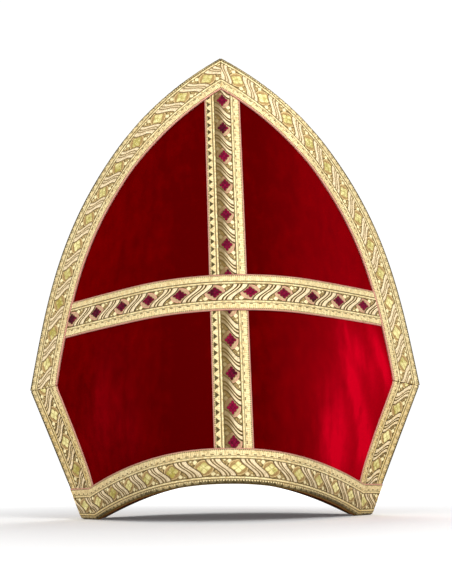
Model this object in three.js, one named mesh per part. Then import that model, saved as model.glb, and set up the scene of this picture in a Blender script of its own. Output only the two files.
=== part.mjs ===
// Bishop's mitre: two stiff velvet horns joined at the side seams, a soft
// gusset between them, and gold braid along every edge and in a cross.
// Millimetres, +Z up, the front horn faces -Y, the floor is z = 0.

import * as THREE from 'three';

// Overall form of one horn
const hornHeight = 336;
const cornerHeight = 93;
const cornerHalfWidth = 144.5;
const rimHalfWidth = 104.5;
const rimDepth = 100;
const leanAngle = 9.3 * Math.PI / 180;

// Level section of a horn: round nose, straight flank, eased edge
const noseRadiusRim = 64.5;
const noseRadiusTip = 145;
const upperFlankAngle = 35.4 * Math.PI / 180;
const flankFade = 20;
const edgeEase = 24;
const footEdgeAngle = 48 * Math.PI / 180;
const sideEdgeAngle = 26 * Math.PI / 180;
const footEdgeReach = 40;
const easeFadeStart = 55;
const easeFadeReach = 70;

// Upper edge of a horn, from the side corner to the point
const archStraightShare = 0.27;
const archPower = 3.3;

// Lower rim: flat at each side seam, arched between
const rimArch = 24;
const rimArchPower = 2.2;
const footFlat = 12;

// Cloth walls
const hornWall = 3;
const seamEdge = 1.2;
const gussetWall = 1.5;

// Gold braid and its places
const braidWidth = 26;
const braidThickness = 1.2;
const rimSetback = 0.5;
const rimTurn = 3.8;
const tipTurn = 3.6;
const tipTurnStart = 250;
const barHeight = 151.5;
const barDroop = 8.6;
const barTilt = 1.35 * Math.PI / 180;
const uprightFootShift = 5.7;
const uprightTipShift = 0;

// Gusset between the horns
const gussetEndInset = 9;
const gussetMidHeight = 150;
const gussetEndRise = 9;
const gussetMidCuff = 16;
const gussetEndCuff = 2;

// Gaps between neighbouring pieces
const seamGap = 0.3;
const layerGap = 0.45;
const buttGap = 0.3;

// Fineness of the facets
const panelColumns = 28;
const panelColumnPower = 1.2;
const panelLowerRows = 9;
const panelUpperRows = 16;
const tipRowPower = 1.35;
const archSteps = 24;
const sideSteps = 12;
const rimSteps = 30;
const barSteps = 28;
const uprightLowerSteps = 9;
const uprightUpperSteps = 14;
const braidColumns = 4;
const gussetColumns = 22;
const gussetRows = 8;
const walkSteps = 8;
const edgeSamples = 120;
const solveSteps = 40;
const slopeStep = 0.05;

function mix(a, b, share) {
  return a + (b - a) * share;
}

function ease(share) {
  const s = Math.min(1, Math.max(0, share));
  return s * s * (3 - 2 * s);
}

// Half width of a horn at height z: a straight side seam, then the arch
function halfWidth(z) {
  if (z <= cornerHeight) {
    return mix(rimHalfWidth, cornerHalfWidth, Math.max(0, z) / cornerHeight);
  }
  const drop = Math.max(0, (hornHeight - z) / (hornHeight - cornerHeight));
  const curved = 1 - Math.pow(1 - drop, archPower);
  return cornerHalfWidth * mix(curved, drop, archStraightShare);
}

function noseRadius(z) {
  return mix(noseRadiusRim, noseRadiusTip, z / hornHeight);
}

// How far the nose line stands ahead of the side seams
function noseDepth(z) {
  return rimDepth - z * Math.tan(leanAngle);
}

// Change of slope at the edge: pinched flat at the side seam, none above it
function edgeTurn(z, flank) {
  const angle = mix(footEdgeAngle, sideEdgeAngle, ease(z / footEdgeReach));
  const fade = 1 - ease((z - easeFadeStart) / easeFadeReach);
  return (Math.tan(angle) - Math.tan(flank)) * fade;
}

// Depth behind the nose line of the level section at distance x
function sectionDepth(x, z, flank) {
  const radius = noseRadius(z);
  const width = halfWidth(z);
  const noseReach = radius * Math.sin(flank);
  const reach = Math.abs(x);
  const round = Math.min(reach, noseReach);
  const straight = Math.max(0, reach - noseReach);
  const body = radius - Math.sqrt(radius * radius - round * round) + straight * Math.tan(flank);
  const past = Math.max(0, reach - (width - edgeEase));
  return body + edgeTurn(z, flank) * past * past / (2 * edgeEase);
}

// Flank angle that brings the section exactly to the side seam
function seamFlankAngle(z) {
  const target = noseDepth(z) - seamEdge - seamGap / 2;
  let low = 0.3;
  let high = 1.35;
  for (let i = 0; i < solveSteps; i += 1) {
    const middle = (low + high) / 2;
    if (sectionDepth(halfWidth(z), z, middle) < target) {
      low = middle;
    } else {
      high = middle;
    }
  }
  return low;
}

const cornerFlankAngle = seamFlankAngle(cornerHeight);

function flankAngle(z) {
  if (z <= cornerHeight) {
    return seamFlankAngle(z);
  }
  const fade = Math.exp(-(z - cornerHeight) / flankFade);
  return mix(upperFlankAngle, cornerFlankAngle, fade);
}

// Outer face of the front horn: y for a given x and z
function faceY(x, z) {
  return sectionDepth(x, z, flankAngle(z)) - noseDepth(z);
}

// Level direction square to the face, pointing out to the front
function outward(x, z) {
  const slope = (faceY(x + slopeStep, z) - faceY(x - slopeStep, z)) / (2 * slopeStep);
  const size = Math.hypot(slope, 1);
  return [slope / size, -1 / size];
}

// Point off the face by a level distance, positive to the outside
function offPoint(x, z, distance) {
  const [nx, ny] = outward(x, z);
  return [x + nx * distance, faceY(x, z) + ny * distance, z];
}

// Inner face point, thinned where the wall would cross the seam plane
function innerPoint(x, z) {
  const [nx, ny] = outward(x, z);
  const y = faceY(x, z);
  const room = (-seamGap / 2 - y) / -ny;
  const wall = Math.min(hornWall, room);
  return [x - nx * wall, y - ny * wall, z];
}

function rimLine(x) {
  const share = Math.abs(x) / (rimHalfWidth - footFlat);
  return rimArch * Math.max(0, 1 - Math.pow(share, rimArchPower));
}

// Closed slab from two matching grids of points, outer and inner
function slabGeometry(outer, inner) {
  const rows = outer.length;
  const columns = outer[0].length;
  const points = [];
  for (const grid of [outer, inner]) {
    for (const row of grid) {
      for (const point of row) {
        points.push(...point);
      }
    }
  }
  const outerAt = (i, j) => i * columns + j;
  const innerAt = (i, j) => rows * columns + i * columns + j;
  const faces = [];
  const quad = (a, b, c, d) => faces.push(a, b, c, a, c, d);
  for (let i = 0; i + 1 < rows; i += 1) {
    for (let j = 0; j + 1 < columns; j += 1) {
      quad(outerAt(i, j), outerAt(i, j + 1), outerAt(i + 1, j + 1), outerAt(i + 1, j));
      quad(innerAt(i, j), innerAt(i + 1, j), innerAt(i + 1, j + 1), innerAt(i, j + 1));
    }
  }
  for (let j = 0; j + 1 < columns; j += 1) {
    quad(outerAt(0, j + 1), outerAt(0, j), innerAt(0, j), innerAt(0, j + 1));
    const top = rows - 1;
    quad(outerAt(top, j), outerAt(top, j + 1), innerAt(top, j + 1), innerAt(top, j));
  }
  for (let i = 0; i + 1 < rows; i += 1) {
    quad(outerAt(i, 0), outerAt(i + 1, 0), innerAt(i + 1, 0), innerAt(i, 0));
    const end = columns - 1;
    quad(outerAt(i + 1, end), outerAt(i, end), innerAt(i, end), innerAt(i + 1, end));
  }
  return closedGeometry(points, faces);
}

// Geometry with coincident points joined and collapsed triangles dropped
function closedGeometry(points, faces) {
  const joined = new Map();
  const kept = [];
  const place = [];
  for (let k = 0; k < points.length; k += 3) {
    const point = points.slice(k, k + 3);
    const key = point.map((value) => Math.round(value * 1000)).join(' ');
    if (!joined.has(key)) {
      joined.set(key, kept.length / 3);
      kept.push(...point);
    }
    place.push(joined.get(key));
  }
  const index = [];
  for (let k = 0; k < faces.length; k += 3) {
    const [a, b, c] = faces.slice(k, k + 3).map((corner) => place[corner]);
    if (a !== b && b !== c && a !== c) {
      index.push(a, b, c);
    }
  }
  const geometry = new THREE.BufferGeometry();
  geometry.setAttribute('position', new THREE.Float32BufferAttribute(kept, 3));
  geometry.setIndex(index);
  geometry.computeVertexNormals();
  return geometry;
}

// The same geometry seen in a mirror across the side seam plane
function mirrored(geometry) {
  const copy = geometry.clone();
  const position = copy.getAttribute('position');
  for (let k = 0; k < position.count; k += 1) {
    position.setY(k, -position.getY(k));
  }
  const index = Array.from(copy.getIndex().array);
  for (let k = 0; k < index.length; k += 3) {
    [index[k + 1], index[k + 2]] = [index[k + 2], index[k + 1]];
  }
  copy.setIndex(index);
  copy.computeVertexNormals();
  return copy;
}

// Place of a column across a horn from -1 to 1, closer set to the edges
function columnShare(column) {
  const even = 2 * column / panelColumns - 1;
  return Math.sign(even) * (1 - Math.pow(1 - Math.abs(even), panelColumnPower));
}

// Front horn: rows from the rim up to the side corners, then to the point
function hornGeometry() {
  const outer = [];
  const inner = [];
  const addRow = (place) => {
    const row = [];
    const innerRow = [];
    for (let j = 0; j <= panelColumns; j += 1) {
      const [x, z] = place(columnShare(j));
      row.push([x, faceY(x, z), z]);
      innerRow.push(innerPoint(x, z));
    }
    outer.push(row);
    inner.push(innerRow);
  };
  for (let i = 0; i < panelLowerRows; i += 1) {
    const share = i / panelLowerRows;
    const width = halfWidth(cornerHeight * share);
    addRow((u) => [u * width, mix(rimLine(u * rimHalfWidth), cornerHeight, share)]);
  }
  for (let i = 0; i <= panelUpperRows; i += 1) {
    const share = Math.pow(1 - i / panelUpperRows, tipRowPower);
    const z = mix(hornHeight, cornerHeight, share);
    addRow((u) => [u * halfWidth(z), z]);
  }
  return slabGeometry(outer, inner);
}

// Walks over the face, square to an edge, and returns where it arrives
function walkInward(x, z, edgeTangent, distance) {
  const slopes = (px, pz) => [
    (faceY(px + slopeStep, pz) - faceY(px - slopeStep, pz)) / (2 * slopeStep),
    (faceY(px, pz + slopeStep) - faceY(px, pz - slopeStep)) / (2 * slopeStep),
  ];
  const place = new THREE.Vector3(x, 0, z);
  let heading = null;
  for (let i = 0; i < walkSteps; i += 1) {
    const [sx, sz] = slopes(place.x, place.z);
    const normal = new THREE.Vector3(sx, -1, sz).normalize();
    if (heading === null) {
      heading = edgeTangent.clone().cross(normal);
    }
    heading.addScaledVector(normal, -heading.dot(normal)).normalize();
    place.addScaledVector(heading, distance / walkSteps);
  }
  return [place.x, place.z];
}

// Width of the arch braid that shows, for it is turned over the edge towards the point
function archBraidWidth(z) {
  return braidWidth - tipTurn * ease((z - tipTurnStart) / (hornHeight - tipTurnStart));
}

function sideBraidWidth() {
  return braidWidth;
}

// Width of the rim braid that shows, for its lower border is turned under the rim
function rimBraidWidth() {
  return braidWidth - rimTurn;
}

// Line one braid width inside an edge given as a function of a share
function insetLine(edge, width) {
  const line = [];
  const step = 1 / edgeSamples;
  for (let i = 0; i <= edgeSamples; i += 1) {
    const share = i / edgeSamples;
    const [x, z] = edge(share);
    const [xa, za] = edge(Math.max(0, share - step / 2));
    const [xb, zb] = edge(Math.min(1, share + step / 2));
    const tangent = new THREE.Vector3(xb - xa, faceY(xb, zb) - faceY(xa, za), zb - za);
    line.push(walkInward(x, z, tangent.normalize(), width(z)));
  }
  return line;
}

// Value of one column of a line where the other column has a given value
function lookUp(line, given, from, to) {
  let best = line[0][to];
  let nearest = Infinity;
  for (let i = 0; i + 1 < line.length; i += 1) {
    const a = line[i][from];
    const b = line[i + 1][from];
    const share = Math.min(1, Math.max(0, (given - a) / (b - a || 1e-9)));
    const miss = Math.abs(mix(a, b, share) - given);
    if (miss < nearest) {
      nearest = miss;
      best = mix(line[i][to], line[i + 1][to], share);
    }
  }
  return best;
}

// Edges of the right half, each walked so that the horn lies inside
function archEdge(share) {
  const z = mix(hornHeight, cornerHeight, share * share);
  return [halfWidth(z), z];
}

function seamLine(share) {
  const z = mix(cornerHeight, 0, share);
  return [halfWidth(z), z];
}

function rimEdge(share) {
  const x = mix(rimHalfWidth, 0, share);
  return [x, rimLine(x) + rimSetback];
}

const archInset = insetLine(archEdge, archBraidWidth);
const seamInset = insetLine(seamLine, sideBraidWidth);
const rimInset = insetLine(rimEdge, rimBraidWidth);

function archInsetX(z) {
  return lookUp(archInset, z, 1, 0);
}

function archInsetZ(x) {
  return lookUp(archInset, Math.abs(x), 0, 1);
}

function seamInsetX(z) {
  return lookUp(seamInset, z, 1, 0);
}

function rimBandTop(x) {
  return lookUp(rimInset, Math.abs(x), 0, 1);
}

// Height where a falling difference of two functions of z passes zero
function crossing(difference, low, high) {
  let a = low;
  let b = high;
  for (let i = 0; i < solveSteps; i += 1) {
    const middle = (a + b) / 2;
    if (difference(middle) > 0) {
      a = middle;
    } else {
      b = middle;
    }
  }
  return a;
}

const innerCornerZ = crossing(
  (z) => archInsetX(z) - seamInsetX(z),
  cornerHeight - braidWidth,
  cornerHeight + braidWidth,
);
const innerTipZ = archInsetZ(buttGap / 2);
const bandTopAtSeam = rimBandTop(rimHalfWidth);
const bandTopInside = crossing(
  (z) => rimBandTop(seamInsetX(z)) - z,
  0,
  cornerHeight,
);

// Strip laid on the face: place(along, across) gives x and z
function stripGeometry(place, steps, columns) {
  const outer = [];
  const inner = [];
  for (let i = 0; i <= steps; i += 1) {
    const row = [];
    const innerRow = [];
    for (let j = 0; j <= columns; j += 1) {
      const [x, z] = place(i / steps, j / columns);
      row.push(offPoint(x, z, layerGap + braidThickness));
      innerRow.push(offPoint(x, z, layerGap));
    }
    outer.push(row);
    inner.push(innerRow);
  }
  return slabGeometry(outer, inner);
}

// Braid along the arch of the right half, mitred at the corner and the tip
function archPlace(along, across) {
  const climb = 1 - (1 - along) * (1 - along) ** 0.35;
  const outerZ = mix(cornerHeight + buttGap / 2, hornHeight - buttGap, climb);
  const innerZ = mix(innerCornerZ + buttGap / 2, innerTipZ, climb);
  const outerX = Math.max(buttGap / 2, halfWidth(outerZ));
  const innerX = Math.max(buttGap / 2, archInsetX(innerZ));
  return [mix(innerX, outerX, across), mix(innerZ, outerZ, across)];
}

// Braid along the side seam of the right half
function sidePlace(along, across) {
  const outerZ = mix(bandTopAtSeam + buttGap, cornerHeight - buttGap / 2, along);
  const innerZ = mix(bandTopInside + buttGap, innerCornerZ - buttGap / 2, along);
  return [mix(seamInsetX(innerZ), halfWidth(outerZ), across), mix(innerZ, outerZ, across)];
}

function flipX(place) {
  return (along, across) => {
    const [x, z] = place(along, 1 - across);
    return [-x, z];
  };
}

// Braid around the rim, from one side seam to the other
function rimPlace(along, across) {
  const u = 1 - 2 * along;
  const lowX = u * rimHalfWidth;
  const topX = u * halfWidth(bandTopAtSeam);
  const lowZ = rimLine(lowX) + rimSetback;
  return [mix(lowX, topX, across), mix(lowZ, rimBandTop(topX), across)];
}

// Bar of the cross, tilted a little and drooping to its ends
function barCentre(x) {
  const share = x / cornerHalfWidth;
  return barHeight + x * Math.tan(barTilt) - barDroop * share * share;
}

const barHalfHeight = braidWidth * Math.cos(leanAngle) / 2;

function barEnd(sign, across) {
  let x = sign * cornerHalfWidth;
  for (let i = 0; i < solveSteps; i += 1) {
    const z = barCentre(x) + (2 * across - 1) * barHalfHeight;
    x = sign * (archInsetX(z) - buttGap);
  }
  return x;
}

function barPlace(along, across) {
  const x = mix(barEnd(1, across), barEnd(-1, across), along);
  return [x, barCentre(x) + (2 * across - 1) * barHalfHeight];
}

// Upright of the cross, in two lengths that butt against the bar
function uprightX(z, across) {
  const radius = noseRadius(z);
  const half = radius * Math.sin(braidWidth / 2 / radius);
  return mix(uprightFootShift, uprightTipShift, z / hornHeight) + (2 * across - 1) * half;
}

function uprightLowerPlace(along, across) {
  const foot = uprightX(rimArch + rimBraidWidth(), across);
  const head = uprightX(barHeight - barHalfHeight, across);
  const low = rimBandTop(foot) + buttGap;
  const high = barCentre(head) - barHalfHeight - buttGap;
  const z = mix(low, high, along);
  return [mix(foot, head, along), z];
}

function uprightUpperPlace(along, across) {
  const foot = uprightX(barHeight + barHalfHeight, across);
  const head = uprightX(innerTipZ, across);
  const low = barCentre(foot) + barHalfHeight + buttGap;
  const high = archInsetZ(head) - 2 * buttGap;
  const z = mix(low, high, along);
  return [mix(foot, head, along), z];
}

// Soft gusset: a saddle of cloth slung between the inner faces of the horns
function gussetGeometry() {
  const upper = [];
  const lower = [];
  const halfLength = cornerHalfWidth - gussetEndInset;
  for (let i = 0; i <= gussetColumns; i += 1) {
    const share = 2 * i / gussetColumns - 1;
    const x = share * halfLength;
    const dome = 1 - share * share;
    const valley = mix(cornerHeight + gussetEndRise, gussetMidHeight, dome);
    const cuff = mix(gussetEndCuff, gussetMidCuff, dome);
    const [, reach] = innerPoint(x, valley + cuff);
    const slant = -1 / outward(x, valley + cuff)[1];
    const half = -reach - hornWall * (slant - 1 / slant) - layerGap * slant;
    const row = [];
    const under = [];
    for (let j = 0; j <= gussetRows; j += 1) {
      const across = 2 * j / gussetRows - 1;
      const z = valley + cuff * across * across;
      row.push([x, across * half, z]);
      under.push([x, across * half, z - gussetWall]);
    }
    upper.push(row);
    lower.push(under);
  }
  return slabGeometry(lower, upper);
}

const velvet = { color: 0x7d0008, roughness: 0.9, metalness: 0 };
const lining = { color: 0x6a0a12, roughness: 0.85, metalness: 0 };
const galloon = { color: 0xcaa552, roughness: 0.45, metalness: 0.7 };

const group = new THREE.Group();
group.name = 'bishop_mitre';

function addPiece(name, geometry, finish) {
  const mesh = new THREE.Mesh(geometry, new THREE.MeshStandardMaterial(finish));
  mesh.name = name;
  mesh.material.name = name;
  group.add(mesh);
}

function addStrip(name, place, steps) {
  const geometry = stripGeometry(place, steps, braidColumns);
  addPiece(`front_${name}`, geometry, galloon);
  return geometry;
}

const horn = hornGeometry();
addPiece('front_horn', horn, velvet);
addPiece('back_horn', mirrored(horn), velvet);
addPiece('crown_gusset', gussetGeometry(), lining);

const edgeBraids = [
  ['arch_braid_right', archPlace, archSteps],
  ['arch_braid_left', flipX(archPlace), archSteps],
  ['side_braid_right', sidePlace, sideSteps],
  ['side_braid_left', flipX(sidePlace), sideSteps],
  ['rim_braid', rimPlace, rimSteps],
];
for (const [name, place, steps] of edgeBraids) {
  const geometry = addStrip(name, place, steps);
  addPiece(`back_${name}`, mirrored(geometry), galloon);
}

const crossParts = [
  ['cross_bar', barPlace, barSteps],
  ['cross_upright_lower', uprightLowerPlace, uprightLowerSteps],
  ['cross_upright_upper', uprightUpperPlace, uprightUpperSteps],
];
for (const [name, place, steps] of crossParts) {
  addPiece(name, stripGeometry(place, steps, braidColumns), galloon);
}

export default group;
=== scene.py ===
# %% [markdown]
# # A bishop's mitre in red velvet and gold braid
#
# The hat is two stiff pointed horns, front and back, sewn together up the
# side seams and joined across the crown by a soft gusset. Each horn is card
# or buckram under crimson velvet. A woven gold galloon follows every edge, and
# the front horn carries a cross of the same galloon with purple lozenges.
#
# The lesson dresses the frame: first the curved faces of the horns, then the
# gusset, then every length of braid as a ribbon laid on those faces, and last
# the finishes, the floor, the lights and the camera.

import math

import bpy
import numpy as np
from mathutils import Matrix


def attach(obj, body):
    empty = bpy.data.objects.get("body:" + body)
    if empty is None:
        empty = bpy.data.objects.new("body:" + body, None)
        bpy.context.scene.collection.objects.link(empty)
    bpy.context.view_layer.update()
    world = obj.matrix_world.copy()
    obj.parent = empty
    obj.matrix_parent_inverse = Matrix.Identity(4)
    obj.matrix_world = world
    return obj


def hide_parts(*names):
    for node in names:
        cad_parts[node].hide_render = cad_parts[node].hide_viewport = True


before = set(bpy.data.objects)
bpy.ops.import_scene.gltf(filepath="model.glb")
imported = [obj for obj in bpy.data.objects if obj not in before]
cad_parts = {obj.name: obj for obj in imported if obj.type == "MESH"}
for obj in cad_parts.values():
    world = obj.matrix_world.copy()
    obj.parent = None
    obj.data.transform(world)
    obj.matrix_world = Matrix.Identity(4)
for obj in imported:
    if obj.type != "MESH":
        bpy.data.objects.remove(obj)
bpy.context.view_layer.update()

# %% [markdown]
# ## The sizes of the hat
#
# The horns are cut flat and then bent round the head, so one level section
# of a horn is a round nose in the middle, a straight flank on each side and a
# flatter strip where the two horns are pinched together at the seam. These
# are the sizes of that form in millimetres, the unit a milliner would use.

# %% Sizes of the horns and the braid, in millimetres
MM = 0.001
HORN_HEIGHT = 336.0
CORNER_HEIGHT = 93.0
CORNER_HALF_WIDTH = 144.5
RIM_HALF_WIDTH = 104.5
RIM_DEPTH = 100.0
LEAN = math.radians(9.3)
NOSE_RADIUS_RIM = 64.5
NOSE_RADIUS_TIP = 145.0
UPPER_FLANK = math.radians(35.4)
FLANK_FADE = 20.0
EDGE_EASE = 24.0
FOOT_EDGE_ANGLE = math.radians(48)
SIDE_EDGE_ANGLE = math.radians(26)
FOOT_EDGE_REACH = 40.0
EASE_FADE_START = 55.0
EASE_FADE_REACH = 70.0
ARCH_STRAIGHT_SHARE = 0.27
ARCH_POWER = 3.3
RIM_ARCH = 24.0
RIM_ARCH_POWER = 2.2
FOOT_FLAT = 12.0
HORN_WALL = 3.0
SEAM_EDGE = 1.2
SEAM_GAP = 0.3
GUSSET_WALL = 1.5
BRAID_WIDTH = 26.0
RIM_TURN = 3.8
RIM_UNSEEN = 0.75
TIP_TURN = 3.6
TIP_TURN_START = 250.0
PATTERN_REPEAT = 22.6
BAR_HEIGHT = 151.5
BAR_DROOP = 8.6
BAR_TILT = math.radians(1.35)
UPRIGHT_FOOT_SHIFT = 5.7
UPRIGHT_TIP_SHIFT = 0.0

# %% [markdown]
# ## The face of a horn
#
# The face is a graph: for every place seen from the front it gives how far
# forward the velvet stands. The nose line leans back towards the point. The
# flank angle is found by halving so that, below the corners, the section ends
# exactly in the seam; above the corners it settles to one angle.

# %% The curved face of a horn
FLATTEST_FLANK = 0.3
STEEPEST_FLANK = 1.35
HALVINGS = 40
SEAM_SAMPLES = 93
SLOPE_STEP = 0.05


def mix(a, b, share):
    """The value that lies the given share of the way from a to b."""
    return a + (b - a) * share


def ease(share):
    """A smooth step: three times the square of the share less twice its cube."""
    s = np.clip(share, 0, 1)
    return s * s * (3 - 2 * s)


def half_width(z):
    """Half width at height z: a straight line up the side seam, then the arch.

    The arch is a power curve mixed with a straight line.
    """
    z = np.asarray(z, float)
    drop = np.clip((HORN_HEIGHT - z) / (HORN_HEIGHT - CORNER_HEIGHT), 0, 1)
    arch = CORNER_HALF_WIDTH * mix(1 - (1 - drop) ** ARCH_POWER, drop, ARCH_STRAIGHT_SHARE)
    seam = mix(RIM_HALF_WIDTH, CORNER_HALF_WIDTH, z / CORNER_HEIGHT)
    return np.where(z > CORNER_HEIGHT, arch, seam)


def section_depth(x, z, flank):
    """Depth behind the nose line.

    A circle of the nose radius as far as the flank angle, then its tangent. A parabola is added near the
    seam and turns the edge.
    """
    radius = mix(NOSE_RADIUS_RIM, NOSE_RADIUS_TIP, z / HORN_HEIGHT)
    reach = np.abs(x)
    nose = radius * np.sin(flank)
    round_part = np.minimum(reach, nose)
    body = radius - np.sqrt(radius**2 - round_part**2) + np.maximum(0, reach - nose) * np.tan(flank)
    angle = mix(FOOT_EDGE_ANGLE, SIDE_EDGE_ANGLE, ease(z / FOOT_EDGE_REACH))
    fade = 1 - ease((z - EASE_FADE_START) / EASE_FADE_REACH)
    turn = (np.tan(angle) - np.tan(flank)) * fade
    past = np.maximum(0, reach - (half_width(z) - EDGE_EASE))
    return body + turn * past**2 / (2 * EDGE_EASE)


def solve_seam_flanks(heights):
    """The flank angle at each height, found by halving.

    It makes the section's depth at the seam equal to the depth of the nose.
    """
    low = np.full(len(heights), FLATTEST_FLANK)
    high = np.full(len(heights), STEEPEST_FLANK)
    target = RIM_DEPTH - heights * math.tan(LEAN) - SEAM_EDGE - SEAM_GAP / 2
    for _ in range(HALVINGS):
        middle = (low + high) / 2
        short = section_depth(half_width(heights), heights, middle) < target
        low = np.where(short, middle, low)
        high = np.where(short, high, middle)
    return low


SEAM_HEIGHTS = np.linspace(0, CORNER_HEIGHT, SEAM_SAMPLES)
SEAM_FLANKS = solve_seam_flanks(SEAM_HEIGHTS)


def flank_angle(z):
    """The solved seam angle up to the corner, then a decaying step to the upper angle."""
    fade = np.exp(-np.maximum(0, z - CORNER_HEIGHT) / FLANK_FADE)
    above = mix(UPPER_FLANK, SEAM_FLANKS[-1], fade)
    return np.where(z > CORNER_HEIGHT, above, np.interp(z, SEAM_HEIGHTS, SEAM_FLANKS))


def face_y(x, z):
    """How far the outer face of the front horn stands from the seam plane."""
    return section_depth(x, z, flank_angle(z)) - (RIM_DEPTH - z * math.tan(LEAN))


def face_normal(x, z):
    """Unit vectors square to the face, pointing forwards.

    They come from the slopes of the graph along x and z, by central differences.
    """
    along_x = (face_y(x + SLOPE_STEP, z) - face_y(x - SLOPE_STEP, z)) / (2 * SLOPE_STEP)
    along_z = (face_y(x, z + SLOPE_STEP) - face_y(x, z - SLOPE_STEP)) / (2 * SLOPE_STEP)
    normal = np.stack([along_x, -np.ones_like(along_x), along_z], -1)
    return normal / np.linalg.norm(normal, axis=-1, keepdims=True)


def rim_line(x):
    """Height of the lower rim.

    It is flat at the seams, with an arch between that falls by a power of the distance.
    """
    share = np.abs(x) / (RIM_HALF_WIDTH - FOOT_FLAT)
    return RIM_ARCH * np.maximum(0, 1 - share**RIM_ARCH_POWER)


print("flank angle at the rim and the corner", np.degrees(SEAM_FLANKS[[0, -1]]).round(1))

# %% [markdown]
# ## Meshes from grids
#
# Cloth, card and braid are all thin things with a face, a back and an edge.
# One helper turns a grid of face points and a grid of back points into a
# closed skin, with a rounded edge between them, as a turned or bound edge has.

# %% Closed skins from grids of points


def grid_quads(rows, columns, first):
    """Quads of a grid whose points are numbered row by row from first."""
    i, j = np.meshgrid(np.arange(rows - 1), np.arange(columns - 1), indexing="ij")
    corner = first + i * columns + j
    return np.stack([corner, corner + 1, corner + columns + 1, corner + columns], -1).reshape(-1, 4)


def border_loop(rows, columns):
    """Numbers of the border points of a grid, once round, against the clock as the face is seen."""
    bottom = np.arange(columns)
    right = np.arange(1, rows) * columns + columns - 1
    top = (rows - 1) * columns + np.arange(columns - 2, -1, -1)
    left = np.arange(rows - 2, 0, -1) * columns
    return np.concatenate([bottom, right, top, left])


def closed_skin(face, back, bulge=0.0, rings=3):
    """A closed skin: the face grid, the back grid turned over, and a band between their borders.

    The band swells by bulge times the sine of the way across it.
    """
    rows, columns = face.shape[:2]
    count = rows * columns
    loop = border_loop(rows, columns)
    points = [face.reshape(-1, 3), back.reshape(-1, 3)]
    centre = face[rows // 2, columns // 2]
    edge_face, edge_back = face.reshape(-1, 3)[loop], back.reshape(-1, 3)[loop]
    tangent = np.roll(edge_face, -1, 0) - np.roll(edge_face, 1, 0)
    across = edge_back - edge_face
    outwards = np.cross(across, tangent)
    size = np.linalg.norm(outwards, axis=1, keepdims=True)
    outwards = outwards / np.maximum(size, 1e-9)
    flip = np.sign(np.sum(outwards * (edge_face - centre), axis=1, keepdims=True))
    outwards = outwards * np.where(flip == 0, 1, flip)
    ring_numbers = [loop]
    for k in range(1, rings + 1):
        share = k / (rings + 1)
        swell = outwards * bulge * math.sin(math.pi * share)
        ring_numbers.append(2 * count + (k - 1) * len(loop) + np.arange(len(loop)))
        points.append(mix(edge_face, edge_back, share) + swell)
    ring_numbers.append(loop + count)
    quads = [grid_quads(rows, columns, 0), grid_quads(rows, columns, count)[:, ::-1]]
    for one, other in zip(ring_numbers[:-1], ring_numbers[1:]):
        quads.append(np.stack([np.roll(one, -1), one, other, np.roll(other, -1)], -1))
    return np.concatenate(points), np.concatenate(quads)


def write_mark(mesh, name, values):
    """One number for each point, kept as an attribute that a finish can read."""
    mark = mesh.attributes.new(name, "FLOAT", "POINT")
    mark.data.foreach_set("value", values.astype(np.float32))


def add_piece(name, points, faces, uv=None, bound=None):
    """A mesh object from points in millimetres.

    The first two columns of uv go to the corners as a map and the third becomes the mark from_edge.
    bound is the mark of the bound edges.
    """
    mesh = bpy.data.meshes.new(name)
    mesh.from_pydata((points * MM).tolist(), [], [tuple(f) for f in faces])
    if uv is not None:
        layer = mesh.uv_layers.new(name="strip")
        corners = np.empty(len(mesh.loops), dtype=np.int32)
        mesh.loops.foreach_get("vertex_index", corners)
        layer.data.foreach_set("uv", uv[corners, :2].astype(np.float32).ravel())
        write_mark(mesh, "from_edge", uv[:, 2])
    if bound is not None:
        write_mark(mesh, "bound", bound)
    mesh.polygons.foreach_set("use_smooth", np.ones(len(mesh.polygons), dtype=bool))
    mesh.update()
    piece = bpy.data.objects.new(name, mesh)
    bpy.context.scene.collection.objects.link(piece)
    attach(piece, "root")
    return piece


def mirror_back(points, faces):
    """The same skin in a mirror across the seam plane, its faces turned to look outwards again."""
    turned = points.copy()
    turned[:, 1] *= -1
    return turned, [tuple(f)[::-1] for f in faces]

# %% [markdown]
# ## The velvet horns
#
# Velvet pulled over card is never quite flat: it is drawn in at the edges and
# stands a hair proud in the middle, with slow shallow waves where the card
# has been bent round a head. A few long sine waves, run out to nothing at the
# edges, give the pile something to catch the light on. On the flanks the cloth
# has been handled: a short table of strokes raises low ridges there, and the
# finish later paints sheen along the same strokes, bright streaks of colour
# where the brushing of the pile would catch the light.

# %% The two horns
HORN_COLUMNS = 120
HORN_LOWER_ROWS = 40
HORN_UPPER_ROWS = 90
TIP_ROW_POWER = 1.35
POINT_TUCK = 0.6
WAVE_HEIGHT = 0.175
# length across, length up, turns of the phase, strength
WAVES = [
    (19.0, 55.0, 1, 1.0),
    (31.0, -37.0, 2, 0.7),
    (47.0, 23.0, 0, 0.5),
]
# middle across, middle height, lean (across for each up), half width, half height, strength
STROKES = [
    (92.5, 86.0, -0.25, 5.2, 34.0, 1.00),
    (77.0, 50.0, 0.06, 11.0, 36.0, 0.80),
    (113.0, 114.0, -0.30, 4.6, 24.0, 0.80),
    (101.0, 108.0, -0.22, 7.0, 20.0, 0.60),
    (100.5, 50.0, 0.10, 5.4, 20.0, 0.60),
    (88.0, 128.0, -0.20, 2.6, 15.0, 0.45),
    (-84.0, 74.0, 0.10, 17.0, 40.0, 0.15),
    (-64.0, 58.0, -0.05, 9.0, 24.0, 0.08),
]
STROKE_RELIEF = 0.3
EDGE_CALM = 8.0
RIM_CALM = 20.0
CALM_REACH = 30.0
BOUND_SWELL = 0.25


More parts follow.
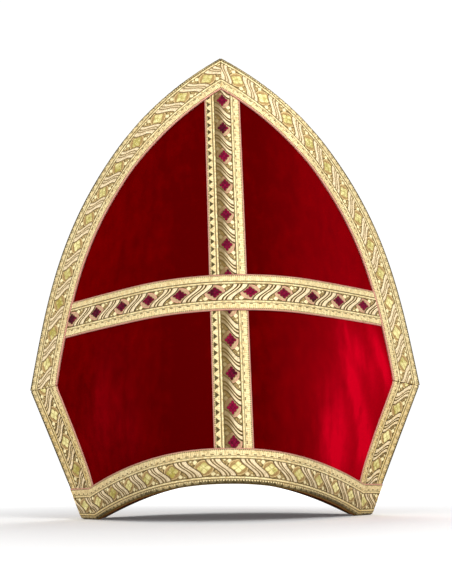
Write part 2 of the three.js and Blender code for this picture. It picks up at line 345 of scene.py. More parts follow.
def horn_places():
    """x and z over a horn: rows from the rim to the corners, then to the point.

    The columns are shares of the width of each row.
    """
    u = np.linspace(-1, 1, HORN_COLUMNS + 1)[None, :]
    low = np.linspace(0, 1, HORN_LOWER_ROWS, endpoint=False)[:, None]
    x_low = u * half_width(CORNER_HEIGHT * low)
    z_low = mix(rim_line(u * RIM_HALF_WIDTH), CORNER_HEIGHT, low)
    share = (1 - np.linspace(0, 1, HORN_UPPER_ROWS + 1)[:, None]) ** TIP_ROW_POWER
    z_high = mix(HORN_HEIGHT - POINT_TUCK, CORNER_HEIGHT, share) + 0 * u
    x_high = u * half_width(z_high)
    return np.concatenate([x_low, x_high]), np.concatenate([z_low, z_high])


def velvet_lift(x, z, phase, creased):
    """How far the cloth stands off the card: slow sine waves and, where it is creased, bell-shaped ridges.

    The lift is eased to nothing at the edges and at the rim.
    """
    wave = sum(
        strength * np.sin(x / wide + z / high + turns * phase)
        for wide, high, turns, strength in WAVES
    )
    lift = WAVE_HEIGHT * wave
    for place, level, lean, half, reach, strength in STROKES if creased else []:
        across = (x - place - lean * (z - level)) / half
        lift = lift + STROKE_RELIEF * strength * np.exp(-(across**2) - ((z - level) / reach) ** 2)
    inset = half_width(z) - np.abs(x)
    return lift * ease((inset - EDGE_CALM) / CALM_REACH) * ease((z - RIM_CALM) / CALM_REACH)


def horn_skin(phase, creased):
    """Face points of the graph lifted along their normals, and back points one wall further in."""
    x, z = horn_places()
    normal = face_normal(x, z)
    card = np.stack([x, face_y(x, z), z], -1)
    face = card + normal * velvet_lift(x, z, phase, creased)[..., None]
    level = normal.copy()
    level[..., 2] = 0
    level /= np.linalg.norm(level, axis=-1, keepdims=True)
    room = (-SEAM_GAP / 2 - card[..., 1]) / -level[..., 1]
    wall = np.minimum(HORN_WALL, room)
    return closed_skin(face, card - level * wall[..., None], bulge=BOUND_SWELL)


def bound_edge(count):
    """One on the borders of the face and the back and on the band between them, nought elsewhere."""
    rows, columns = HORN_LOWER_ROWS + HORN_UPPER_ROWS + 1, HORN_COLUMNS + 1
    border = border_loop(rows, columns)
    bound = np.zeros(count)
    bound[border] = 1
    bound[border + rows * columns] = 1
    bound[2 * rows * columns :] = 1
    return bound


points, faces = horn_skin(phase=0.4, creased=True)
front_velvet = add_piece("front_velvet", points, faces, bound=bound_edge(len(points)))
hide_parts("front_horn")
points, faces = mirror_back(*horn_skin(phase=1.9, creased=False))
back_velvet = add_piece("back_velvet", points, faces, bound=bound_edge(len(points)))
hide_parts("back_horn")
print("each horn has", len(points), "points")

# %% [markdown]
# ## The gusset
#
# Between the horns a soft cloth closes the crown. It hangs as a saddle from
# the inner faces, low at the side corners and high in the middle, and it is
# cut a little full, so it falls into small folds that run from horn to horn.

# %% The gusset between the horns
GUSSET_END_INSET = 9.0
GUSSET_MID_HEIGHT = 150.0
GUSSET_END_RISE = 9.0
GUSSET_MID_CUFF = 16.0
GUSSET_END_CUFF = 2.0
GUSSET_CLEARANCE = 0.7
GUSSET_LEAST_HALF = 0.8
GUSSET_LENGTHS = 161
GUSSET_BREADTHS = 61
GUSSET_SWELL = 0.2
FOLD_HEIGHT = 0.54
LONG_FOLDS = 34.0
SHORT_FOLDS = 57.0


def gusset_folds(share, across):
    """Two runs of sine folds, a long and a short one, that bow a little on their way from horn to horn."""
    return np.sin(share * LONG_FOLDS + 1.3 * across**2) + 0.6 * np.sin(share * SHORT_FOLDS - 0.8 * across)


def gusset_skin():
    """A dome along x with a parabola across it that climbs to each horn.

    The folds fade at the middle line, at the horns and at the ends.
    """
    share = np.linspace(-1, 1, GUSSET_LENGTHS)[:, None]
    across = np.linspace(-1, 1, GUSSET_BREADTHS)[None, :]
    x = share * (CORNER_HALF_WIDTH - GUSSET_END_INSET)
    dome = 1 - share**2
    valley = mix(CORNER_HEIGHT + GUSSET_END_RISE, GUSSET_MID_HEIGHT, dome)
    cuff = mix(GUSSET_END_CUFF, GUSSET_MID_CUFF, dome)
    top = valley + cuff
    slant = 1 / np.abs(face_normal(x, top)[..., 1])
    half = np.maximum(-face_y(x, top) - HORN_WALL * slant - GUSSET_CLEARANCE, GUSSET_LEAST_HALF)
    fade = dome * np.abs(across) ** 1.5 * (1 - across**8)
    z = valley + cuff * across**2 + FOLD_HEIGHT * gusset_folds(share, across) * fade
    upper = np.stack([x + 0 * across, across * half, z], -1)
    lower = upper - np.array([0, 0, GUSSET_WALL])
    return closed_skin(lower, upper, bulge=GUSSET_SWELL)


points, faces = gusset_skin()
gusset_cloth = add_piece("gusset_cloth", points, faces)
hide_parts("crown_gusset")
print("the gusset has", len(points), "points")

# %% [markdown]
# ## The pattern of the galloon
#
# The galloon is one figured ribbon. Down its middle a lozenge alternates with
# a slanting bundle of strands, in a field held between two fine cords; outside
# them are a row of dashes on one side and small teeth on the other, a combed
# line and a rose-coloured selvedge. The pattern is written once, as functions
# of the place across and along the ribbon in millimetres, so that the same
# lines raise the threads in the mesh and colour them in the finish.

# %% One algebra for arrays and for shader sockets


class Wire:
    """A value in a shader tree. Sums, products and the few functions below add the math nodes they need."""

    def __init__(self, tree, socket):
        self.tree = tree
        self.socket = socket

    def node(self, operation, *others):
        """A math node with this value first and the others after it."""
        made = self.tree.nodes.new("ShaderNodeMath")
        made.operation = operation
        for place, value in enumerate((self, *others)):
            if isinstance(value, Wire):
                self.tree.links.new(value.socket, made.inputs[place])
            else:
                made.inputs[place].default_value = float(value)
        return Wire(self.tree, made.outputs[0])

    def __add__(self, other):
        return self.node("ADD", other)

    __radd__ = __add__

    def __sub__(self, other):
        return self.node("SUBTRACT", other)

    def __rsub__(self, other):
        return self.node("MULTIPLY", -1).node("ADD", other)

    def __mul__(self, other):
        return self.node("MULTIPLY", other)

    __rmul__ = __mul__

    def __truediv__(self, other):
        return self.node("DIVIDE", other)

    def __neg__(self):
        return self.node("MULTIPLY", -1)


def size_of(value):
    """Absolute value."""
    return value.node("ABSOLUTE") if isinstance(value, Wire) else np.abs(value)


def least(a, b):
    """The smaller of two values."""
    return a.node("MINIMUM", b) if isinstance(a, Wire) else np.minimum(a, b)


def most(a, b):
    """The larger of two values."""
    return a.node("MAXIMUM", b) if isinstance(a, Wire) else np.maximum(a, b)


def held(value, low, high):
    """The value kept between two limits."""
    return least(most(value, low), high)


def sine(value):
    """Sine of an angle in radians."""
    return value.node("SINE") if isinstance(value, Wire) else np.sin(value)


def root(value):
    """Square root."""
    return value.node("SQRT") if isinstance(value, Wire) else np.sqrt(value)


def wrapped(value, period):
    """The value less the nearest whole number of periods."""
    if isinstance(value, Wire):
        return value - (value / period + 0.5).node("FLOOR") * period
    return value - np.floor(value / period + 0.5) * period


def inside(distance, blur=0.22):
    """One where the distance is below nought and nought above, with a straight ramp as wide as blur."""
    return held(0.5 - distance / blur, 0, 1)

# %% The strands, the lozenge and the beads
FIELD_HALF = 5.75
STRAND_REACH = 5.2
BEND_WIDTH = 5.9
BUNDLE_HALF = 4.7
THIN_SHIFT = 0.45
THIN_HALF = 1.15
GAP_HALF = 0.52
BUNDLE_RIM = 0.2
BUNDLE_RIM_HALF = 0.46
LOZENGE_LONG = 5.1
LOZENGE_WIDE = 4.2
LOZENGE_SLOPE = 3.1
OVAL_LONG_SQUARED = 1 / 0.0265
OVAL_WIDE_SQUARED = 25.0
OVAL_SLOPE = 5.2
OVAL_HALF = 0.34
OVAL_RIM = 0.85
BEAD_ALONG, BEAD_ACROSS, BEAD_REACH = 5.3, 4.3, 1.75
DOT_ALONG, DOT_ACROSS, DOT_REACH = 2.3, 5.0, 0.55
DOT_STRETCH = 0.4


def strand_masks(u, bundle_v, slant):
    """Masks of the bundle of strands, which follows v = slant times a sine of u.

    Two grooves part its thin strand from the two thick ones.
    """
    bend = sine(held(u / BEND_WIDTH, -1, 1) * (math.pi / 2)) * (STRAND_REACH * slant)
    strand = bundle_v - bend
    reach = size_of(strand)
    in_field = inside(size_of(u) - FIELD_HALF)
    bundle = inside(reach - BUNDLE_HALF) * in_field
    from_thin = size_of(size_of(strand * slant + THIN_SHIFT) - THIN_HALF)
    return {
        "in_field": in_field,
        "strand": strand,
        "bundle": bundle,
        "from_thin": from_thin,
        "strand_gap": inside(from_thin - GAP_HALF) * bundle,
        "bundle_edge": inside(size_of(reach - (BUNDLE_HALF + BUNDLE_RIM)) - BUNDLE_RIM_HALF) * in_field,
    }


def bead_distance(u, bundle_v, slant):
    """Distance to the nearest bead or dot, below nought inside it.

    A diamond and a small oval lie at each end of the bundle.
    """
    nearest = []
    for way in (1, -1):
        along, across = bundle_v + BEAD_ALONG * slant * way, u - BEAD_ACROSS * way
        nearest.append(size_of(along) + size_of(across) - BEAD_REACH)
        along, across = bundle_v + DOT_ALONG * slant * way, u - DOT_ACROSS * way
        nearest.append(root(along * along * DOT_STRETCH + across * across) - DOT_REACH)
    bead_one, dot_one, bead_other, dot_other = nearest
    return least(least(bead_one, bead_other), least(dot_one, dot_other))


def galloon_figure(u, v, slant):
    """Masks of the figure at u across and v along the ribbon.

    The lozenge is where the shares of its half length and half width, p and q, stay below one. Round it
    runs an oval, the ring where the squared shares of its two radii add to one.
    """
    lozenge_v = wrapped(v, PATTERN_REPEAT)
    bundle_v = wrapped(v + PATTERN_REPEAT / 2, PATTERN_REPEAT)
    figure = strand_masks(u, bundle_v, slant)
    p = lozenge_v / LOZENGE_LONG + u / LOZENGE_WIDE
    q = lozenge_v / LOZENGE_LONG - u / LOZENGE_WIDE
    lozenge = inside((most(size_of(p), size_of(q)) - 1) * LOZENGE_SLOPE)
    ring = (root(lozenge_v * lozenge_v / OVAL_LONG_SQUARED + u * u / OVAL_WIDE_SQUARED) - 1) * OVAL_SLOPE
    clear = figure["in_field"] * (1 - figure["bundle"]) * (1 - figure["bundle_edge"]) * (1 - lozenge)
    return figure | {
        "p": p,
        "q": q,
        "lozenge": lozenge,
        "oval": inside(size_of(ring) - OVAL_HALF) * clear,
        "oval_edge": inside(size_of(ring - OVAL_RIM) - OVAL_HALF) * clear,
        "hollow": inside(ring) * clear,
        "beads": inside(bead_distance(u, bundle_v, slant)) * (1 - figure["bundle"]),
    }

# %% The borders of the galloon
CORD_PLACE = 6.75
CORD_HALF = 0.55
FURROW_IN, FURROW_HALF = 0.85, 0.3
HIGH_RULE_OUT, HIGH_RULE_HALF = 0.95, 0.4
LOW_RULE_OUT, LOW_RULE_HALF = 0.85, 0.24
DASH_PLACE, DASH_WIDE, DASH_LONG = 8.5, 0.34, 1.05
LADDER_OUT, LADDER_WIDE, RUNG_HALF = 1.3, 1.2, 0.2
COMB_PLACE, COMB_HALF = 11.8, 0.24
COMB_PITCH, COMB_DEPTH = 1.25, 0.2
SELVEDGE = 12.15
TEETH_LOW = 8.2
TEETH_HIGH = 11.2
TOOTH_TAPER, TOOTH_FOOT, TOOTH_SLOPE = 0.85, 0.22, 1.6


def galloon_teeth(u, v, pitch):
    """Small teeth on the high side: a tooth is as wide as a share of its pitch that falls on the way out."""
    climb = (TEETH_HIGH - u) / (TEETH_HIGH - TEETH_LOW)
    tooth = size_of(wrapped(v, pitch)) / (pitch / 2)
    row = inside(size_of(u - (TEETH_LOW + TEETH_HIGH) / 2) - (TEETH_HIGH - TEETH_LOW) / 2)
    return inside((climb * TOOTH_TAPER + TOOTH_FOOT - tooth) * TOOTH_SLOPE) * row


def galloon_borders(u, v):
    """Masks outside the field, each a band round its own line.

    A fine cord runs each side of the field, with a row of dashes and rungs on the low side and teeth on
    the high side, and then come a combed line and the selvedge.
    """
    away = size_of(u)
    quarter = PATTERN_REPEAT / 4
    comb_wave = sine(v * (2 * math.pi / COMB_PITCH)) * COMB_DEPTH
    dash_row = inside(size_of(u + DASH_PLACE) - DASH_WIDE)
    ladder_row = inside(size_of(u + (DASH_PLACE + LADDER_OUT)) - LADDER_WIDE)
    return {
        "cord": inside(size_of(away - CORD_PLACE) - CORD_HALF),
        "furrow": inside(size_of(away - (CORD_PLACE - FURROW_IN)) - FURROW_HALF),
        "rule_high": inside(size_of(u - (CORD_PLACE + HIGH_RULE_OUT)) - HIGH_RULE_HALF),
        "rule_low": inside(size_of(u + (CORD_PLACE + LOW_RULE_OUT)) - LOW_RULE_HALF),
        "dash": dash_row * inside(size_of(wrapped(v, quarter)) - DASH_LONG),
        "ladder": inside(size_of(wrapped(v + quarter / 2, quarter)) - RUNG_HALF) * ladder_row,
        "comb": inside(size_of(away - COMB_PLACE) - COMB_HALF - comb_wave),
        "selvedge": inside(SELVEDGE - away),
        "teeth": galloon_teeth(u, v, quarter),
    }


print("one repeat of the galloon is", PATTERN_REPEAT, "mm long")

# %% [markdown]
# ## Ribbons laid on the face
#
# A ribbon is sewn down along an edge of the horn, so each of its rows starts
# on that edge and walks over the face square to it. Walking many rows at once
# gives real distances across and along the ribbon, which keeps the pattern
# true on the curved face. Where ribbons meet, the rows are cut at the mitre.

# %% Walking over the face
LEAST_ROWS = 4


def walk_rows(x, z, width, steps, side):
    """Rows of points from a line on the face.

    Each step moves along the face, square to the line, and the heading is turned back into the face
    after each step. The width is one number or one for each place.
    """
    start = np.stack([x, face_y(x, z), z], -1)
    tangent = np.gradient(start, axis=0)
    tangent /= np.linalg.norm(tangent, axis=1, keepdims=True)
    heading = np.cross(tangent, face_normal(x, z)) * side
    rows = [start]
    place = start
    for _ in range(steps):
        normal = face_normal(place[:, 0], place[:, 2])
        heading = heading - np.sum(heading * normal, axis=1, keepdims=True) * normal
        heading /= np.linalg.norm(heading, axis=1, keepdims=True)
        place = place + heading * width / steps
        place[:, 1] = face_y(place[:, 0], place[:, 2])
        rows.append(place)
    return np.stack(rows, 1)


def even_line(x, z, spacing):
    """The same line resampled at even spacing by its length on the face, with that length."""
    line = np.stack([x, face_y(x, z), z], -1)
    length = np.concatenate([[0], np.cumsum(np.linalg.norm(np.diff(line, axis=0), axis=1))])
    count = max(LEAST_ROWS, int(round(length[-1] / spacing)))
    wanted = np.linspace(0, length[-1], count + 1)
    return np.interp(wanted, length, x), np.interp(wanted, length, z), wanted


def cut_rows(rows, distances, allowed, columns):
    """Each row kept only where allowed is above nought, and spread again over the given number of columns.

    The ends are found where allowed, taken as straight between two places, passes nought. Returns the
    points, their distances and which rows were kept.
    """
    keep = allowed > 0
    whole = keep.any(axis=1)
    rows, allowed, keep = rows[whole], allowed[whole], keep[whole]
    first = keep.argmax(axis=1)
    last = keep.shape[1] - 1 - keep[:, ::-1].argmax(axis=1)
    n = np.arange(len(rows))
    before = np.maximum(first - 1, 0)
    after = np.minimum(last + 1, keep.shape[1] - 1)
    step = distances[1] - distances[0]
    f0, f1 = allowed[n, before], allowed[n, first]
    low = distances[first] - np.where(before < first, step * f1 / np.maximum(f1 - f0, 1e-9), 0)
    g0, g1 = allowed[n, after], allowed[n, last]
    high = distances[last] + np.where(after > last, step * g1 / np.maximum(g1 - g0, 1e-9), 0)
    share = np.linspace(0, 1, columns + 1)[None, :]
    wanted = mix(low[:, None], high[:, None], share)
    at = np.clip(wanted / step, 0, len(distances) - 1.001)
    base = at.astype(int)
    part = (at - base)[..., None]
    points = mix(rows[n[:, None], base], rows[n[:, None], base + 1], part)
    return points, wanted, whole

# %% [markdown]
# ## The lines that the braids follow
#
# Three edges guide everything: the arch from corner to point, the side seam
# and the rim. One braid width inside each of them runs the line where the
# velvet begins, and those lines cut the cross and mitre the corners.

# %% Edge lines and inset lines
TIP_SAMPLE_POWER = 1.6
WALK_STEPS = 24
ARCH_SAMPLES = 240
SEAM_EDGE_SAMPLES = 80
RIM_SAMPLES = 120
INWARDS = -1


def arch_line(samples):
    """The upper edge of the right half from the corner to the point, denser towards the point."""
    share = np.linspace(0, 1, samples)
    z = mix(HORN_HEIGHT, CORNER_HEIGHT, (1 - share) ** TIP_SAMPLE_POWER)
    return half_width(z), z


def seam_edge_line(samples):
    """The side seam of the right half from the rim to the corner."""
    z = np.linspace(0, CORNER_HEIGHT, samples)
    return half_width(z), z


def arch_turn(z):
    """How much of the arch braid is folded over the edge: nothing low down, more towards the point."""
    return TIP_TURN * ease((z - TIP_TURN_START) / (HORN_HEIGHT - TIP_TURN_START))


def rim_turn(z):
    """How much of the rim braid is folded under the rim, the same all along."""
    return np.full_like(z, RIM_TURN)


arch_x, arch_z = arch_line(ARCH_SAMPLES)
arch_shown = BRAID_WIDTH - arch_turn(arch_z)[:, None]
arch_inset = walk_rows(arch_x, arch_z, arch_shown, WALK_STEPS, INWARDS)[:, -1]
seam_x, seam_z = seam_edge_line(SEAM_EDGE_SAMPLES)
seam_inset = walk_rows(seam_x, seam_z, BRAID_WIDTH, WALK_STEPS, INWARDS)[:, -1]
rim_x = np.linspace(0, RIM_HALF_WIDTH, RIM_SAMPLES)
rim_inset = walk_rows(rim_x, rim_line(rim_x), BRAID_WIDTH - RIM_TURN, WALK_STEPS, INWARDS)[:, -1]
print("inset at the corner", arch_inset[0].round(1), seam_inset[-1].round(1))
print("the rim band's top at the middle and the seam", rim_inset[[0, -1], 2].round(1))

# %% Where the inset lines run
LADDER_BELOW = 15.0
LADDER_ABOVE = 25.0
LADDER_RUNGS = 801


def arch_inset_x(z):
    """Distance from the middle of the inner line of the arch braid at height z."""
    order = np.argsort(arch_inset[:, 2])
    return np.interp(z, arch_inset[order, 2], arch_inset[order, 0])


def arch_inset_z(x):
    """Height of the inner line of the arch braid at distance x."""
    order = np.argsort(arch_inset[:, 0])
    return np.interp(np.abs(x), arch_inset[order, 0], arch_inset[order, 2])


def rim_band_top(x):
    """Height of the upper line of the rim braid at distance x."""
    order = np.argsort(rim_inset[:, 0])
    return np.interp(np.abs(x), rim_inset[order, 0], rim_inset[order, 2])


def inner_corner():
    """Where the inner lines of the arch braid and the side braid cross, found on a fine ladder of heights."""
    z = np.linspace(CORNER_HEIGHT - LADDER_BELOW, CORNER_HEIGHT + LADDER_ABOVE, LADDER_RUNGS)
    order = np.argsort(seam_inset[:, 2])
    seam_side = np.interp(z, seam_inset[order, 2], seam_inset[order, 0])
    nearest = np.abs(arch_inset_x(z) - seam_side).argmin()
    return seam_side[nearest], z[nearest]


corner_x, corner_z = inner_corner()
MITRE_SLOPE = (corner_z - CORNER_HEIGHT) / (corner_x - CORNER_HALF_WIDTH)
print("the corner mitre runs to", round(float(corner_x), 1), round(float(corner_z), 1))


def above_mitre(x, z):
    """Height above the mitre line that runs inwards from the side corner."""
    return z - (CORNER_HEIGHT + (np.abs(x) - CORNER_HALF_WIDTH) * MITRE_SLOPE)

# %% [markdown]
# ## Making a length of braid
#
# A length of braid is a face grid raised by its own figure: rounded strands,
# a puffed lozenge, two cords and softly rolled edges. Its back is two plain
# strips, which nobody sees, so that the fine grid is spent only on the face.
# Modelled threads catch the light from any side, which a bump alone can't do.

# %% The relief of the braid
RELIEF = 0.45
# middle along the bundle and half width of the two thick strands
THICK_STRANDS = [(-2.9, 1.45), (3.4, 1.95)]
THIN_STRAND_HALF = 0.65
THIN_STRAND_HEIGHT = 0.7
STRAND_ROUNDNESS = 0.6
DOME_BASE, DOME_HIP = 0.75, 0.25
CORD_ROUND_HALF = 0.62
BEAD_HEIGHT = 0.8
OVAL_HEIGHT = 0.55
BORDER_HEIGHT, TOOTH_SINK, DASH_SINK = 0.5, 0.35, 0.3
BORDER_START = FIELD_HALF + 2.0


def strand_relief(strand):
    """Thick strands are half round, one less the square of the share of their half width.

    The thin one is rounded in the same way and lower.
    """
    heights = [1 - ((strand - middle) / half) ** 2 for middle, half in THICK_STRANDS]
    heights.append(THIN_STRAND_HEIGHT - THIN_STRAND_HEIGHT * (strand / THIN_STRAND_HALF) ** 2)
    return np.maximum.reduce(heights).clip(0) ** STRAND_ROUNDNESS


def braid_relief(u, v, slant):
    """Height of the threads over the ground in millimetres, the highest of the parts of the figure.

    The lozenge is a dome with cosine hips, the cords are half round, and the border is flat but for the
    sunken teeth, dashes and comb.
    """
    figure = galloon_figure(u, v, slant)
    border = galloon_borders(u, v)
    strands = figure["bundle"] * strand_relief(figure["strand"] * slant + THIN_SHIFT)
    hips = np.cos(np.pi * 1.5 * figure["p"]) * np.cos(np.pi * 1.5 * figure["q"])
    dome = figure["lozenge"] * (DOME_BASE + DOME_HIP * hips)
    cord_share = (np.abs(u) - CORD_PLACE) / CORD_ROUND_HALF
    cords = border["cord"] * (1 - cord_share**2).clip(0) ** 0.5
    sunken = BORDER_HEIGHT - TOOTH_SINK * border["teeth"] - DASH_SINK * border["dash"]
    flat = inside(BORDER_START - np.abs(u)) * (1 - border["comb"]) * sunken
    beads, oval = figure["beads"] * BEAD_HEIGHT, figure["oval"] * OVAL_HEIGHT
    return RELIEF * np.maximum.reduce([strands, dome, cords, beads, oval, flat])

# %% One length of braid
LAY_GAP = 0.1
BRAID_BODY = 0.6
EDGE_ROLL = 0.45


def strip_faces(rows, columns):
    """Quads of the fine face and of the three-column back, the two long sides, and a cap at each end."""
    first = rows * columns
    end, last = columns - 1, (rows - 1) * columns
    back_last = first + (rows - 1) * 3
    i = np.arange(rows - 1)
    row, next_row = i * columns, (i + 1) * columns
    behind, next_behind = first + i * 3, first + (i + 1) * 3
    left = np.stack([row, next_row, next_behind, behind], -1)
    right = np.stack([next_row + end, row + end, behind + 2, next_behind + 2], -1)
    quads = [grid_quads(rows, columns, 0), grid_quads(rows, 3, first)[:, ::-1], left, right]
    faces = [tuple(f) for f in np.concatenate(quads).tolist()]
    faces.append((*range(end, -1, -1), first, first + 1, first + 2))
    faces.append((*range(last, last + columns), back_last + 2, back_last + 1, back_last))
    return faces


def braid_skin(points, distance, u, along, slant, lift):
    """A face grid over the laid rows and a back of two strips, one lay gap off the horn.

    The face is raised along the face normals by the body and the relief, less a bell-shaped roll at
    both edges. The third column of the map is the distance from the line that the braid follows.
    """
    v = np.repeat(along[:, None], u.shape[1], 1)
    normal = face_normal(points[..., 0], points[..., 2])
    near, far = distance.min(axis=1, keepdims=True), distance.max(axis=1, keepdims=True)
    edge = np.minimum(distance - near, far - distance)
    roll = EDGE_ROLL * np.exp(-((edge / EDGE_ROLL) ** 2))
    height = LAY_GAP + BRAID_BODY + lift - roll + braid_relief(u, v, slant)
    rows, columns = u.shape
    behind = [0, columns // 2, columns - 1]
    face = points + normal * height[..., None]
    back = (points + normal * LAY_GAP)[:, behind]
    laid = np.stack([u, v, distance], -1)
    vertices = np.concatenate([face.reshape(-1, 3), back.reshape(-1, 3)])
    uv = np.concatenate([laid.reshape(-1, 3), laid[:, behind].reshape(-1, 3)])
    return vertices, strip_faces(rows, columns), uv


def turned_over(faces):
    """Every face with its corners in the opposite order."""
    return [tuple(f)[::-1] for f in faces]


print("the braid is", round(BRAID_BODY + RELIEF, 2), "mm thick over its strands")

# %% [markdown]
# ## Laying the ribbons
#
# The real galloon is a little wider than what shows: it is folded under the
# rim and, towards the point, over the edge. So a ribbon is laid from its edge
# line with the folded part left off, and the figure starts where the fold is.
# Where a braid crosses another it stands a little higher. The pattern of each
# length starts where its first lozenge falls on the hat.

# %% Laying a ribbon
EDGE_TO_MIDDLE_STEPS = 12


def no_turn(z):
    """Nothing is folded away."""
    return np.zeros_like(z)


def lay_ribbon(x, z, allowed, weave, side, before=0.0, turn=no_turn, unseen=1.0):
    """Rows walked from an even line, kept where allowed(x, z) is above nought, and made a length of braid.

    before starts the walk that far on the other side of the line. turn(z) is how much is folded away at
    the line, and unseen is what share of that the figure loses.
    """
    x, z, along = even_line(x, z, weave["spacing"])
    if before > 0:
        first = walk_rows(x, z, before, EDGE_TO_MIDDLE_STEPS, -side)[:, -1]
        x, z = first[:, 0], first[:, 2]
    folded = turn(z)[:, None]
    steps = int(round(BRAID_WIDTH / weave["spacing"]))
    rows = walk_rows(x, z, BRAID_WIDTH - folded, steps, side)
    shares = np.linspace(0, 1, steps + 1)
    points, share, whole = cut_rows(rows, shares, allowed(rows[..., 0], rows[..., 2]), steps)
    folded = folded[whole]
    u = BRAID_WIDTH / 2 - folded * unseen - share * (BRAID_WIDTH - folded * unseen)
    woven = (along[whole] - weave["first"]) * PATTERN_REPEAT / weave["repeat"]
    return braid_skin(points, share * (BRAID_WIDTH - folded), u, woven, weave["slant"], weave["lift"])


def mirrored(skin, axis):
    """The copy of a length across the middle plane of the hat (axis 0) or on the back horn (axis 1)."""
    vertices, faces, uv = skin
    turned = vertices.copy()
    turned[:, axis] *= -1
    return turned, turned_over(faces), uv

# %% The ribbons along the edges
CUT_GAP = 0.1
MIDDLE_GAP = 0.04
BAND_GAP = 0.2
RIM_OVERRUN = 11.0
RIM_SETBACK = 0.5
ARCH_ROWS, SEAM_ROWS, RIM_ROWS = 400, 200, 600


def arch_ribbon(woven):
    """Along the arch of the right half, cut at the corner mitre and at the middle plane."""
    x, z = arch_line(ARCH_ROWS)

    def allowed(px, pz):
        return np.minimum(above_mitre(px, pz) - CUT_GAP, px - MIDDLE_GAP)

    return lay_ribbon(x, z, allowed, woven, INWARDS, turn=arch_turn)


def side_ribbon(woven):
    """Up the side seam of the right half, cut by the rim braid below and the mitre above."""
    x, z = seam_edge_line(SEAM_ROWS)

    def allowed(px, pz):
        return np.minimum(-above_mitre(px, pz) - CUT_GAP, pz - rim_band_top(px) - BAND_GAP)

    return lay_ribbon(x, z, allowed, woven, INWARDS)


def rim_ribbon(woven):
    """Round the rim from the left seam to the right, run a little past each end and cut at the seams."""
    x = np.linspace(-RIM_HALF_WIDTH - RIM_OVERRUN, RIM_HALF_WIDTH + RIM_OVERRUN, RIM_ROWS)
    z = rim_line(np.clip(x, -RIM_HALF_WIDTH, RIM_HALF_WIDTH)) + RIM_SETBACK

    def allowed(px, pz):
        return half_width(np.maximum(pz, 0)) - np.abs(px)

    return lay_ribbon(x, z, allowed, woven, INWARDS, turn=rim_turn, unseen=RIM_UNSEEN)

# %% The ribbons of the cross
OUTWARDS = 1
BAR_REACH = 128.0
BAR_ROWS, UPRIGHT_ROWS = 500, 600
BAR_GAP = 0.12
CROSS_GAP = 0.15
UPRIGHT_START = 20.0
UPRIGHT_STOP = HORN_HEIGHT - 5.0
HALF_BAR = BRAID_WIDTH * math.cos(LEAN) / 2


def bar_centre(x):
    """Height of the middle of the bar: a slight tilt and a droop with the square of the distance."""
    return BAR_HEIGHT + x * math.tan(BAR_TILT) - BAR_DROOP * (x / CORNER_HALF_WIDTH) ** 2


def bar_ribbon(woven):
    """Across the horn from left to right, cut by the inner lines of the arch braids."""
    x = np.linspace(-BAR_REACH, BAR_REACH, BAR_ROWS)

    def allowed(px, pz):
        return arch_inset_x(pz) - BAR_GAP - np.abs(px)

    return lay_ribbon(x, bar_centre(x), allowed, woven, OUTWARDS, before=BRAID_WIDTH / 2)


def below_bar(px, pz):
    """How far a place is inside the lower length, from the rim braid to the bar."""
    return np.minimum(bar_centre(px) - HALF_BAR - BAR_GAP - pz, pz - rim_band_top(px) - CROSS_GAP)


def above_bar(px, pz):
    """How far a place is inside the upper length, from the bar to the V of the arch braids."""
    return np.minimum(pz - bar_centre(px) - HALF_BAR - BAR_GAP, arch_inset_z(px) - CROSS_GAP - pz)


def upright_ribbon(woven, allowed):
    """Up the middle, leaning a little, kept where allowed."""
    z = np.linspace(UPRIGHT_START, UPRIGHT_STOP, UPRIGHT_ROWS)
    x = mix(UPRIGHT_FOOT_SHIFT, UPRIGHT_TIP_SHIFT, z / HORN_HEIGHT)
    return lay_ribbon(x, z, allowed, woven, OUTWARDS, before=BRAID_WIDTH / 2)


def lower_upright(woven):
    """The upright below the bar."""
    return upright_ribbon(woven, below_bar)


def upper_upright(woven):
    """The upright above the bar."""
    return upright_ribbon(woven, above_bar)

# %% All the lengths of braid
FINE, FINE_QUICK = 0.5, 1.0
COARSE, COARSE_QUICK = 0.85, 1.6
OVER = 0.75
HALF_OVER = 0.4
# piece, node that it stands for, ribbon, mirror axes, first lozenge, length of a repeat, slant, lift
LENGTHS = [
    ("front_arch_galloon_right", "front_arch_braid_right", arch_ribbon, (), 279.6, 23.8, 1, OVER),
    ("front_arch_galloon_left", "front_arch_braid_left", arch_ribbon, (0,), 281.9, 23.7, -1, OVER),
    ("front_side_galloon_right", "front_side_braid_right", side_ribbon, (), 34.2, 22.0, 1, 0.0),
    ("front_side_galloon_left", "front_side_braid_left", side_ribbon, (0,), 34.0, 21.7, -1, 0.0),
    ("front_rim_galloon", "front_rim_braid", rim_ribbon, (), 45.3, 21.3, 1, HALF_OVER),
    ("cross_bar_galloon", "cross_bar", bar_ribbon, (), 20.5, 24.16, 1, HALF_OVER),
    ("cross_upright_galloon_lower", "cross_upright_lower", lower_upright, (), 283.8, 23.07, 1, 0.0),
    ("cross_upright_galloon_upper", "cross_upright_upper", upper_upright, (), 283.8, 23.07, 1, 0.0),
    ("back_arch_galloon_left", "back_arch_braid_left", arch_ribbon, (1, 0), 279.6, 23.8, 1, OVER),
    ("back_arch_galloon_right", "back_arch_braid_right", arch_ribbon, (1,), 281.9, 23.7, -1, OVER),
    ("back_side_galloon_left", "back_side_braid_left", side_ribbon, (1, 0), 34.2, 22.0, 1, 0.0),
    ("back_side_galloon_right", "back_side_braid_right", side_ribbon, (1,), 34.0, 21.7, -1, 0.0),
    ("back_rim_galloon", "back_rim_braid", rim_ribbon, (1,), 45.3, 21.3, -1, HALF_OVER),
]
spacing_front = FINE
spacing_back = COARSE
BRAIDS = {}
